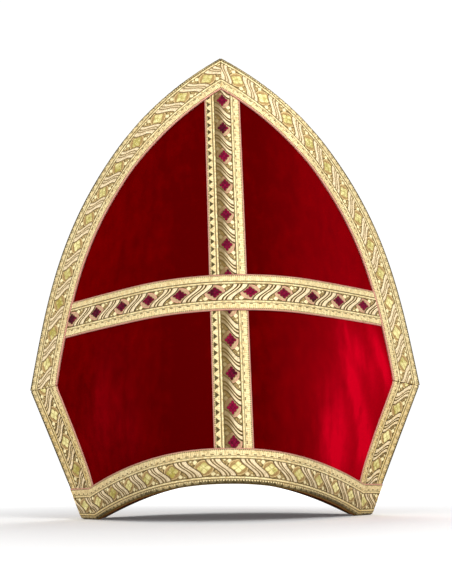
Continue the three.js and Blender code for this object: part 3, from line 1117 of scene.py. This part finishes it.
for name, node, ribbon, axes, first, repeat, slant, lift in LENGTHS:
    spacing = spacing_back if name.startswith("back") else spacing_front
    skin = ribbon({"first": first, "repeat": repeat, "slant": slant, "lift": lift, "spacing": spacing})
    for axis in axes:
        skin = mirrored(skin, axis)
    BRAIDS[name] = add_piece(name, *skin)
    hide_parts(node)
print("braids:", {name: len(piece.data.polygons) for name, piece in BRAIDS.items()})

# %% [markdown]
# ## Finishes
#
# Each finish reads either the place on the object or the ribbon's own map, so
# the pattern stays with the piece wherever it goes. A few helpers come first:
# a new material, blends of colours, the place of a point and the marks on it,
# a noise and a bump.

# %% Helpers for materials


def new_material(name):
    """A new material with its node tree and its shader."""
    material = bpy.data.materials.new(name)
    material.use_nodes = True
    tree = material.node_tree
    shader = tree.nodes["Principled BSDF"]
    return material, tree, shader


def blend_colour(tree, share, under, over):
    """Under where the share is nought, over where it is one; a colour may be a tuple or a socket."""
    node = tree.nodes.new("ShaderNodeMix")
    node.data_type = "RGBA"
    for socket, value in ((node.inputs[0], share), (node.inputs[6], under), (node.inputs[7], over)):
        if isinstance(value, Wire):
            tree.links.new(value.socket, socket)
        elif isinstance(value, bpy.types.NodeSocket):
            tree.links.new(value, socket)
        elif isinstance(value, (tuple, list)):
            socket.default_value = (*value, 1)
        else:
            socket.default_value = value
    return node.outputs[2]


def laid_over(tree, colour, *layers):
    """The colour with each layer, a share and the colour that it brings, blended over it in turn."""
    for share, over in layers:
        colour = blend_colour(tree, share, colour, over)
    return colour


def object_place(tree):
    """The place of a point on its own object, in metres."""
    return tree.nodes.new("ShaderNodeTexCoord").outputs["Object"]


def parts_of(tree, vector):
    """The three numbers of a vector."""
    split = tree.nodes.new("ShaderNodeSeparateXYZ")
    tree.links.new(vector, split.inputs[0])
    return [Wire(tree, part) for part in split.outputs]


def mark_on(tree, name):
    """The number that write_mark kept on the points under this name."""
    mark = tree.nodes.new("ShaderNodeAttribute")
    mark.attribute_name = name
    return Wire(tree, mark.outputs["Fac"])


def noise(tree, vector, scale, detail=3, stretch=(1, 1, 1)):
    """A noise value between nought and one on coordinates stretched by the given factors."""
    mapping = tree.nodes.new("ShaderNodeMapping")
    mapping.inputs["Scale"].default_value = stretch
    tree.links.new(vector, mapping.inputs["Vector"])
    node = tree.nodes.new("ShaderNodeTexNoise")
    node.inputs["Scale"].default_value = scale
    node.inputs["Detail"].default_value = detail
    tree.links.new(mapping.outputs[0], node.inputs["Vector"])
    return Wire(tree, node.outputs[0])


def set_bump(tree, shader, height, strength, distance):
    """A height that tilts the shader's normal; distance is the metres that it stands for."""
    bump = tree.nodes.new("ShaderNodeBump")
    bump.inputs["Strength"].default_value = strength
    bump.inputs["Distance"].default_value = distance
    tree.links.new(height.socket, bump.inputs["Height"])
    tree.links.new(bump.outputs[0], shader.inputs["Normal"])

# %% [markdown]
# ### Velvet
#
# Crimson velvet is dark when seen square on and glows where the pile turns
# away, with streaks along the brushing of the pile. The glow is partly the
# shader's red sheen and partly painted sheen: the colour itself is made
# lighter towards the flanks. Three noises stretched up the horn give the
# streaks, a fourth a fine mottle, and the table of strokes paints sheen on
# the front as bright streaks of colour. The velvet throws back no white light
# of its own, only a red sheen. Its cut edges are bound in dark gold, on the
# marked points.

# %% Velvet
VELVET_DEEP = (0.080, 0.0, 0.0002)
VELVET_BRIGHT = (0.142, 0.0, 0.0002)
VELVET_BRUSHED_SHEEN = (0.50, 0.0, 0.010)
VELVET_SHEEN = (0.74, 0.0, 0.004)
BINDING_DARK = (0.045, 0.030, 0.006)
BINDING_GOLD = (0.26, 0.18, 0.06)
FLANK_SHEEN_REACH = (20, 105)
SHEEN_ACROSS = (25, 85)
SHEEN_DOWN = (190, 90)


def bell(value):
    """A bell curve: e to the power of minus the square."""
    return (-(value * value)).node("EXPONENT")


def rising(value, low, high):
    """A straight ramp from nought at low to one at high."""
    return held((value - low) / (high - low), 0, 1)


def velvet_noises(tree, where):
    """Streaks, fine streaks and clouds that run up the horn, a mottle and the grain of the pile."""
    return {
        "streak": noise(tree, where, 26, 4, (1.0, 1.0, 0.22)),
        "fine_streak": noise(tree, where, 85, 3, (1.0, 1.0, 0.14)),
        "cloud": noise(tree, where, 11, 3, (1.0, 1.0, 0.6)),
        "mottle": noise(tree, where, 150, 4, (1.0, 1.0, 0.55)),
        "grain": noise(tree, where, 2600, 2),
    }


def brushed_sheen_share(x, z, pile):
    """How much painted sheen lies at a place: a lighter right flank, and a bell across and along each stroke
    of the brushing.
    """
    streak, fine_streak = pile["streak"], pile["fine_streak"] - 0.5
    cloud, mottle = pile["cloud"] - 0.5, pile["mottle"] - 0.5
    strokes = rising(x, *SHEEN_ACROSS) * (0.16 + rising(z, *SHEEN_DOWN) * 0.16) * (0.55 + streak * 0.9)
    for place, level, lean, half, reach, strength in STROKES:
        across = (x - (z - level) * lean - place + cloud * 7 + fine_streak * 8 + mottle * 4) / half
        along = (z - level) / reach
        lit = held(streak * 0.6 + fine_streak * 2.6 + mottle * 1.2 + 0.52, 0.1, 1.5)
        strokes = strokes + bell(across) * bell(along) * lit * strength
    return held(strokes, 0, 1)


def make_velvet(name, with_brushed_sheen):
    """Deep crimson with painted sheen, lighter where the horn turns away from its nose, with bound edges."""
    material, tree, shader = new_material(name)
    where = object_place(tree)
    x, _, z = parts_of(tree, where)
    x, z = x / MM, z / MM
    pile = velvet_noises(tree, where)
    # painted sheen: the colour grows lighter from the nose towards the flanks
    flank = rising(size_of(x), *FLANK_SHEEN_REACH) * 0.5 + 0.05
    drift = (pile["streak"] - 0.5) * 1.5 + (pile["cloud"] - 0.5) * 1.1
    speckle = (pile["mottle"] - 0.5) * 1.5 + (pile["grain"] - 0.5) * 0.8
    colour = blend_colour(tree, held(flank + drift + speckle, 0, 1), VELVET_DEEP, VELVET_BRIGHT)
    if with_brushed_sheen:
        # painted sheen: bright red streaks along the strokes on the front
        colour = blend_colour(tree, brushed_sheen_share(x, z, pile), colour, VELVET_BRUSHED_SHEEN)
    bound = rising(mark_on(tree, "bound"), 0.5, 0.7)
    binding = blend_colour(tree, held((pile["grain"] - 0.35) * 3, 0, 1), BINDING_DARK, BINDING_GOLD)
    tree.links.new(blend_colour(tree, bound, colour, binding), shader.inputs["Base Color"])
    shader.inputs["Roughness"].default_value = 0.9
    shader.inputs["Specular IOR Level"].default_value = 0.0
    shader.inputs["Sheen Weight"].default_value = 0.35
    shader.inputs["Sheen Roughness"].default_value = 0.35
    shader.inputs["Sheen Tint"].default_value = (*VELVET_SHEEN, 1)
    set_bump(tree, shader, pile["grain"] * 0.5 + pile["streak"] * 1.2, 0.3, 0.0005)
    return material


front_velvet.data.materials.append(make_velvet("crimson_velvet_front", True))
back_velvet.data.materials.append(make_velvet("crimson_velvet_back", False))
print("velvet on", front_velvet.name, "and", back_velvet.name)

# %% [markdown]
# ### Satin
#
# The gusset has to fold, so it is a thin plain satin in a darker red. A slow
# noise shifts its colour, and a noise stretched one way stands for the twill.

# %% Satin of the gusset
SATIN_DARK = (0.15, 0.003, 0.008)
SATIN_BRIGHT = (0.27, 0.008, 0.016)


def make_satin():
    """A darker plain red satin with a fine twill and slow colour changes."""
    material, tree, shader = new_material("gusset_satin")
    where = object_place(tree)
    cloud = noise(tree, where, 22, 3)
    twill = noise(tree, where, 900, 1, (1, 0.12, 1))
    colour = blend_colour(tree, held(cloud * 1.4 - 0.2, 0, 1), SATIN_DARK, SATIN_BRIGHT)
    tree.links.new(colour, shader.inputs["Base Color"])
    shader.inputs["Roughness"].default_value = 0.46
    shader.inputs["Sheen Weight"].default_value = 0.15
    set_bump(tree, shader, twill, 0.25, 0.0003)
    return material


gusset_cloth.data.materials.append(make_satin())
print("satin on", gusset_cloth.name)

# %% [markdown]
# ### Gilt galloon
#
# The galloon is gilt thread: pale gold over an olive ground, with lemon
# lozenges on the edges and purple ones in the cross. The masks of the figure
# that raised the threads now colour them, one layer over another as the
# weaver would build them up, with noises that tarnish, fleck and fray them.
# Painted light is laid in as well: painted highlights on the crests of the
# strands, and painted shade between the teeth, in the grooves, on the toothed
# half of the field, along the edge that each braid follows, and lower down on
# the sides and at the ends of the rim.

# %% The colours of the threads
CREST_HIGHLIGHT = (1.0, 0.83, 0.54)
PALE = (1.0, 0.86, 0.48)
CREAM = (0.74, 0.54, 0.25)
TAN = (0.44, 0.27, 0.10)
OLIVE = (0.085, 0.052, 0.008)
SHADOW = (0.045, 0.030, 0.005)
UMBER = (0.15, 0.092, 0.024)
BRONZE = (0.24, 0.15, 0.045)
STRAW = (0.60, 0.43, 0.19)
ROSE = (0.60, 0.28, 0.21)
SHADE_GOLD = (0.66, 0.43, 0.11)
BLUSH = (0.74, 0.40, 0.27)
MAUVE = (0.62, 0.40, 0.24)
LEMON_SQUARES = ((0.92, 0.82, 0.38), (0.42, 0.34, 0.07))
PURPLE_SQUARES = ((0.25, 0.0, 0.034), (0.040, 0.0, 0.006))
# heights in millimetres between which painted shade darkens the thread on its way down
NOWHERE = (0.0, -1.0)
BELOW_CORNERS = (98.0, 72.0)
RIM_ENDS = (26.0, 4.0)


def thread_place(tree):
    """The place on the ribbon, frayed by two noises, with the noises and the height on the hat."""
    uv = tree.nodes.new("ShaderNodeUVMap")
    uv.uv_map = "strip"
    u, v, _ = parts_of(tree, uv.outputs[0])
    where = object_place(tree)
    tuft, fleck = noise(tree, where, 420, 2), noise(tree, where, 1300, 2)
    return {
        "u": u + (tuft - 0.5) * 0.55,
        "v": v + (fleck - 0.5) * 0.30 + (tuft - 0.5) * 0.5,
        "z": parts_of(tree, where)[2] / MM,
        "tarnish": noise(tree, where, 38, 4),
        "tuft": tuft,
        "fleck": fleck,
        "speck": noise(tree, where, 640, 2),
    }

# %% The field and its strands


def gold_thread(tree, spot, low_shade):
    """Cream to pale gold with the tarnish, and patches of painted shade in a darker gold lower down."""
    uneven = spot["tarnish"] * 0.9 + (spot["fleck"] - 0.5) * 2.2 + (spot["tuft"] - 0.5) * 2.4
    return laid_over(tree, CREAM, (held(uneven + 0.12, 0, 1), PALE), (low_shade * 0.7, SHADE_GOLD))


def strand_thread(tree, spot, figure, low_shade):
    """A painted highlight on the crest of each strand, fading towards its grooves, with tan hairs, flecks and
    patches of painted shade lower down.
    """
    # painted highlight: each strand paler on its crest than by its grooves
    crest = held(figure["from_thin"] / 1.3, 0, 1)
    hair = held(sine(figure["strand"] * 5.6) + (spot["tuft"] - 0.5) * 1.5, 0, 1)
    flecks = held((spot["fleck"] - 0.5) * 2.5, 0, 1)
    layers = [(crest * 0.8 + 0.2, CREST_HIGHLIGHT), (hair * 0.62, TAN), (flecks * 0.4, TAN), (low_shade * 0.35, SHADE_GOLD)]
    return laid_over(tree, CREAM, *layers)


def field_colour(tree, spot, figure, look, colour, low_shade, patch):
    """Ground, hollow, oval, beads and strands, and painted shade on the toothed half of the field."""
    deep = held(low_shade * 0.45 + look["depth"], 0, 1)
    straw = held((spot["fleck"] - 0.5) * 3.5 + 1.15 - deep * 0.75 - low_shade * 0.2, 0, 1)
    layers = [
        (figure["in_field"], blend_colour(tree, straw, UMBER, STRAW)),
        (figure["hollow"] * 0.8, look["hollow"]),
        (figure["oval"], look["oval"]),
        (figure["oval_edge"] * 0.75, OLIVE),
        (figure["beads"], PALE),
        (figure["bundle"], strand_thread(tree, spot, figure, low_shade * patch)),
        # dark lines of the pattern in the grooves between and round the strands, darkened further as painted
        # shade
        (figure["strand_gap"] * deep, OLIVE),
        (figure["bundle_edge"] * deep * 0.9, SHADOW),
    ]
    # painted shade on the toothed half of the field
    if look["half_shade"] > 0:
        layers.append((rising(spot["u"], -2.5, 2.5) * figure["in_field"] * look["half_shade"], UMBER))
    return laid_over(tree, colour, *layers)


def lozenge_grooves(figure, hips):
    """The grooves between the small squares of a lozenge, and the notches that they cut in its rim."""
    pitch = 2.0 / hips
    shift = 0.0 if hips % 2 == 0 else pitch / 2
    groove_p = size_of(wrapped(figure["p"] + shift, pitch))
    groove_q = size_of(wrapped(figure["q"] + shift, pitch))
    seam = inside(least(groove_p, groove_q) * 2.6 - 0.16)
    notch = inside((groove_p + groove_q) * 2.6 - 0.55)
    return seam, notch * inside(0.72 - most(size_of(figure["p"]), size_of(figure["q"])))

# %% The borders and the edge


def border_ground(tree, spot, border, look, thread):
    """Ribbed gold thread with the rungs, the teeth and the dashes worked into it, and painted shade in the
    grooves between the teeth.
    """
    rib = held(sine(spot["v"] * (2 * math.pi / 1.3)) * 0.5 + spot["tuft"] * 1.6 - 0.6, 0, 1)
    layers = [
        (rib * 0.5, TAN),
        (border["ladder"] * 0.5, OLIVE),
        # painted shade in the grooves between the teeth, its strength set for each length
        (border["teeth"] * look["teeth"], SHADOW),
        (border["dash"] * 0.95, OLIVE),
    ]
    return laid_over(tree, thread, *layers)


def border_lines(tree, spot, border, look, colour, thread):
    """Dark furrows and rules, the twisted cords, the comb, and a selvedge for each side."""
    twist = 1 - held(sine(spot["v"] * 4.4) - 0.55, 0, 1)
    layers = [
        (border["furrow"] * 0.85, OLIVE),
        (border["rule_high"] * 0.85, OLIVE),
        (border["rule_low"] * 0.8, OLIVE),
        (border["cord"] * twist, thread),
        (border["comb"] * 0.85, OLIVE),
        (inside(spot["u"]) * border["selvedge"], ROSE),
        (inside(-spot["u"]) * border["selvedge"], look["hem"]),
    ]
    return laid_over(tree, colour, *layers)


def edge_shade_dashes(tree, spot, look, colour):
    """A dark line of painted shade along the line that the braid follows, broken into dashes like overcast
    stitches.
    """
    stitch = sine(spot["v"] * (2 * math.pi / 1.9)) * 0.5
    edge_dashes = inside(mark_on(tree, "from_edge") - 1.5 + stitch)
    uneven = held(spot["tarnish"] * 2.4 - 0.3, 0.4, 1)
    return blend_colour(tree, edge_dashes * uneven * look["edge_shade"], colour, SHADOW)


def thread_relief(spot, figure, border, seam):
    """The highest of the threads' parts, less the furrows, under a fine weave."""
    raised = figure["bundle"] * (1 - figure["strand_gap"])
    for part in (figure["beads"], figure["lozenge"] * (1 - seam * 0.6), border["cord"], figure["oval"] * 0.6):
        raised = most(raised, part)
    raised = most(raised, (1 - figure["in_field"]) * 0.6 * (1 - border["teeth"] * 0.7))
    raised = raised - (border["furrow"] + border["comb"] + figure["bundle_edge"]) * 0.35
    weft, warp = sine(spot["v"] * (2 * math.pi / 0.95)), sine(spot["u"] * (2 * math.pi / 0.8))
    return raised + held(weft * warp * 0.5 + 0.5, 0, 1) * 0.3 + spot["fleck"] * 0.5

# %% The finishes of the galloon


def make_galloon(name, look):
    """The whole galloon, laid up from its ground to its edge in the colours and strengths of one look."""
    material, tree, shader = new_material(name)
    spot = thread_place(tree)
    figure = galloon_figure(spot["u"], spot["v"], look["slant"])
    border = galloon_borders(spot["u"], spot["v"])
    tuft, tarnish = spot["tuft"] - 0.5, spot["tarnish"]
    # painted shade lower down, on the sides below the corners and at the ends of the rim
    low_shade = rising(spot["z"], *look["shaded_below"])
    patch = held(tuft * 5.0 + tarnish, 0, 1)
    thread = gold_thread(tree, spot, low_shade * patch)
    colour = border_ground(tree, spot, border, look, thread)
    colour = field_colour(tree, spot, figure, look, colour, low_shade, patch)
    seam, notch = lozenge_grooves(figure, look["hips"])
    bright, dark = look["squares"]
    fill = blend_colour(tree, held(tuft * 2.0 + (tarnish - 0.5) * 2.8 + 0.62, 0, 1), dark, bright)
    fill = blend_colour(tree, seam * 0.6, fill, dark)
    colour = blend_colour(tree, figure["lozenge"] * (1 - notch), colour, fill)
    colour = border_lines(tree, spot, border, look, colour, thread)
    # painted shade along the edge that the braid follows
    if look["edge_shade"] > 0:
        colour = edge_shade_dashes(tree, spot, look, colour)
    specks = held((spot["speck"] - 0.53) * 4.5, 0, 1) * (1 - figure["lozenge"]) * 0.5
    tree.links.new(blend_colour(tree, specks, colour, BRONZE), shader.inputs["Base Color"])
    shader.inputs["Metallic"].default_value = 0.35
    shader.inputs["Roughness"].default_value = 0.38
    shader.inputs["Specular IOR Level"].default_value = 0.12
    set_bump(tree, shader, thread_relief(spot, figure, border, seam), 0.85, 0.0004)
    return material


# hips: small squares each way in a lozenge; hollow: colour between it and its oval; teeth (painted shade
# between the teeth), half_shade (painted shade on the toothed half of the field), edge_shade (painted
# shade along the edge that the braid follows) and depth (the grooves, partly painted shade): how dark
# each lies; shaded_below: heights between which painted shade darkens the thread
CROSS = {"squares": PURPLE_SQUARES, "hips": 3, "oval": BLUSH, "hollow": MAUVE, "hem": ROSE}
EDGE = {"squares": LEMON_SQUARES, "hips": 2, "oval": CREAM, "hollow": TAN, "hem": SHADOW}
RIM = EDGE | {"teeth": 0.75, "half_shade": 0.25, "edge_shade": 0.9, "depth": 0.85, "shaded_below": RIM_ENDS}
PLAIN = {"half_shade": 0.0, "edge_shade": 0.0, "depth": 1.0, "slant": 1, "shaded_below": NOWHERE}
SIDE = {"half_shade": 0.0, "shaded_below": BELOW_CORNERS}
LOOKS = {
    "bar": CROSS | PLAIN | {"teeth": 0.10},
    "upright": CROSS | PLAIN | {"teeth": 0.95, "half_shade": 0.85},
    "rim": RIM | {"slant": 1},
    "right": EDGE | SIDE | {"teeth": 0.40, "hem": OLIVE, "edge_shade": 0.75, "depth": 0.62, "slant": 1},
    "left": EDGE | SIDE | {"teeth": 0.45, "edge_shade": 0.90, "depth": 0.66, "slant": -1},
    "back_rim": RIM | {"slant": -1},
}
GALLOONS = {place: make_galloon("gilt_galloon_" + place, look) for place, look in LOOKS.items()}


def galloon_for(name):
    """Which finish a length takes: by its place on the front, and the other hand on the back."""
    if name.startswith("cross"):
        return GALLOONS["bar" if "bar" in name else "upright"]
    if "rim" in name:
        return GALLOONS["back_rim" if name.startswith("back") else "rim"]
    right = name.endswith("right") != name.startswith("back")
    return GALLOONS["right" if right else "left"]


for name, piece in BRAIDS.items():
    piece.data.materials.append(galloon_for(name))
print("finishes:", sorted(GALLOONS))

# %% [markdown]
# ## The area of the cloth
#
# The gusset is the one soft sheet of the hat: cut flat, sewn to both horns
# and drawn into a saddle, and its area is worked out here. The velvet is
# stretched over stiff card and the braids are straps sewn flat on it, so
# those two keep the shape that they are given here.


def face_area(piece):
    """Half the surface of a thin closed cloth, in square metres: the sum of its polygons' areas."""
    areas = np.empty(len(piece.data.polygons))
    piece.data.polygons.foreach_get("area", areas)
    return float(areas.sum()) / 2


cut_area = face_area(gusset_cloth)

# %% [markdown]
# ## Floor, light and camera
#
# The mitre stands by itself on a pale floor under broad soft lamps: a key from
# the right, a weak fill from the left and one behind. The floor glows a little
# more with the distance, so it fades into the white studio as a paper sweep
# does. The lens sits low, almost level with the rim, and looks slightly up.

# %% The floor
FLOOR_DROP = 0.0002
FLOOR_RINGS = (0.5, 1.5, 4.0, 12.0, 40.0)
FLOOR_SIDES = 64
FLOOR_GREY = (0.86, 0.86, 0.86)
FLOOR_WHITE = (0.90, 0.90, 0.90)
GLOW_NEAR, GLOW_FAR = 0.15, 1.2
GLOW_LEAST, GLOW_MORE = 0.08, 0.75


def floor_mesh():
    """A disc of rings: a fan of triangles round the middle point, then quads from ring to ring."""
    turns = np.linspace(0, 2 * math.pi, FLOOR_SIDES, endpoint=False)
    radius = np.array(FLOOR_RINGS)[:, None]
    level = np.full((len(FLOOR_RINGS), FLOOR_SIDES), -FLOOR_DROP)
    rings = np.stack([radius * np.cos(turns), radius * np.sin(turns), level], -1)
    points = np.concatenate([[[0, 0, -FLOOR_DROP]], rings.reshape(-1, 3)])
    here = np.arange(FLOOR_SIDES)
    after = (here + 1) % FLOOR_SIDES
    faces = [(0, 1 + a, 1 + b) for a, b in zip(here.tolist(), after.tolist())]
    for ring in range(len(FLOOR_RINGS) - 1):
        inner, outer = 1 + ring * FLOOR_SIDES, 1 + (ring + 1) * FLOOR_SIDES
        faces += np.stack([inner + here, outer + here, outer + after, inner + after], -1).tolist()
    mesh = bpy.data.meshes.new("studio_floor")
    mesh.from_pydata(points.tolist(), [], faces)
    return mesh


def make_floor():
    """A wide disc a hair under the hat, faintly mottled, that grows whiter with the distance."""
    mesh = floor_mesh()
    floor = bpy.data.objects.new("studio_floor", mesh)
    bpy.context.scene.collection.objects.link(floor)
    material, tree, shader = new_material("studio_floor")
    where = object_place(tree)
    mottle = noise(tree, where, 4, 2)
    tree.links.new(blend_colour(tree, mottle, FLOOR_GREY, FLOOR_WHITE), shader.inputs["Base Color"])
    shader.inputs["Roughness"].default_value = 0.9
    shader.inputs["Emission Color"].default_value = (1, 1, 1, 1)
    x, y, _ = parts_of(tree, where)
    glow = rising(root(x * x + y * y), GLOW_NEAR, GLOW_FAR) * GLOW_MORE + GLOW_LEAST
    tree.links.new(glow.socket, shader.inputs["Emission Strength"])
    mesh.materials.append(material)
    return floor


print("the floor has", len(make_floor().data.polygons), "faces")

# %% Lights and surroundings
HAT_MIDDLE = (0, 0, 0.15)
# name, place, side of the square, watts
LAMPS = [
    ("key_lamp", (0.85, -1.45, 1.1), 0.9, 21),
    ("fill_lamp", (-1.3, -1.2, 0.7), 1.2, 8),
    ("back_lamp", (0.2, 1.4, 1.4), 1.0, 12),
]
STUDIO_SEEN = 1.05
STUDIO_LIGHT = 0.5


def stand_at(thing, right, up, forward, place):
    """Puts a lamp or a camera at place with its own axes to the right, up and backwards."""
    matrix = np.eye(4)
    matrix[:3] = np.stack([right, up, -forward, place], 1)
    thing.matrix_world = Matrix(matrix.tolist())


def add_lamp(name, place, aim, size, power):
    """A square area lamp at place, turned to aim."""
    data = bpy.data.lights.new(name, "AREA")
    data.energy = power
    data.size = size
    lamp = bpy.data.objects.new(name, data)
    bpy.context.scene.collection.objects.link(lamp)
    forward = np.array(aim, float) - np.array(place, float)
    forward /= np.linalg.norm(forward)
    right = np.cross(forward, [0, 0, 1.0])
    right /= np.linalg.norm(right)
    stand_at(lamp, right, np.cross(right, forward), forward, place)


for name, place, size, power in LAMPS:
    add_lamp(name, place, HAT_MIDDLE, size, power)


def make_surroundings():
    """A white studio: what is seen of it is white, and the light it gives is softer."""
    world = bpy.data.worlds.new("studio")
    world.use_nodes = True
    nodes, links = world.node_tree.nodes, world.node_tree.links
    seen = nodes.new("ShaderNodeLightPath")
    white = nodes.new("ShaderNodeBackground")
    white.inputs["Strength"].default_value = STUDIO_SEEN
    soft = nodes["Background"]
    soft.inputs["Color"].default_value = (1, 1, 1, 1)
    soft.inputs["Strength"].default_value = STUDIO_LIGHT
    white.inputs["Color"].default_value = (1, 1, 1, 1)
    both = nodes.new("ShaderNodeMixShader")
    links.new(seen.outputs["Is Camera Ray"], both.inputs[0])
    links.new(soft.outputs[0], both.inputs[1])
    links.new(white.outputs[0], both.inputs[2])
    links.new(both.outputs[0], nodes["World Output"].inputs[0])
    bpy.context.scene.world = world


make_surroundings()
print("lamps:", [lamp[0] for lamp in LAMPS])

# %% Camera
CAMERA_DISTANCE = 0.714
CAMERA_HEIGHT = 0.0270
CAMERA_SIDE = 0.0017
CAMERA_AZIMUTH = math.radians(-0.30)
CAMERA_PITCH = math.radians(11.07)
CAMERA_ROLL = math.radians(-0.86)
FOCAL_SHARE = 954.7 / 584.0
SENSOR_HEIGHT = 24.0


def add_camera():
    """A camera whose right, up and back directions come from azimuth, pitch and roll."""
    a, p, r = CAMERA_AZIMUTH, CAMERA_PITCH, CAMERA_ROLL
    place = np.array([
        math.sin(a) * CAMERA_DISTANCE + CAMERA_SIDE * math.cos(a),
        -math.cos(a) * CAMERA_DISTANCE + CAMERA_SIDE * math.sin(a),
        CAMERA_HEIGHT,
    ])
    forward = np.array([-math.sin(a) * math.cos(p), math.cos(a) * math.cos(p), math.sin(p)])
    level = np.array([math.cos(a), math.sin(a), 0])
    rise = np.cross(level, forward)
    right = level * math.cos(r) + rise * math.sin(r)
    up = -level * math.sin(r) + rise * math.cos(r)
    data = bpy.data.cameras.new("photo_camera")
    data.sensor_fit = "VERTICAL"
    data.sensor_height = SENSOR_HEIGHT
    data.lens = FOCAL_SHARE * SENSOR_HEIGHT
    data.clip_start = 0.01
    camera = bpy.data.objects.new("photo_camera", data)
    bpy.context.scene.collection.objects.link(camera)
    stand_at(camera, right, up, forward, place)
    return camera


bpy.context.scene.camera = add_camera()
bpy.context.scene.view_settings.view_transform = "Standard"
print("the camera looks from", [round(v, 3) for v in bpy.context.scene.camera.matrix_world.translation])
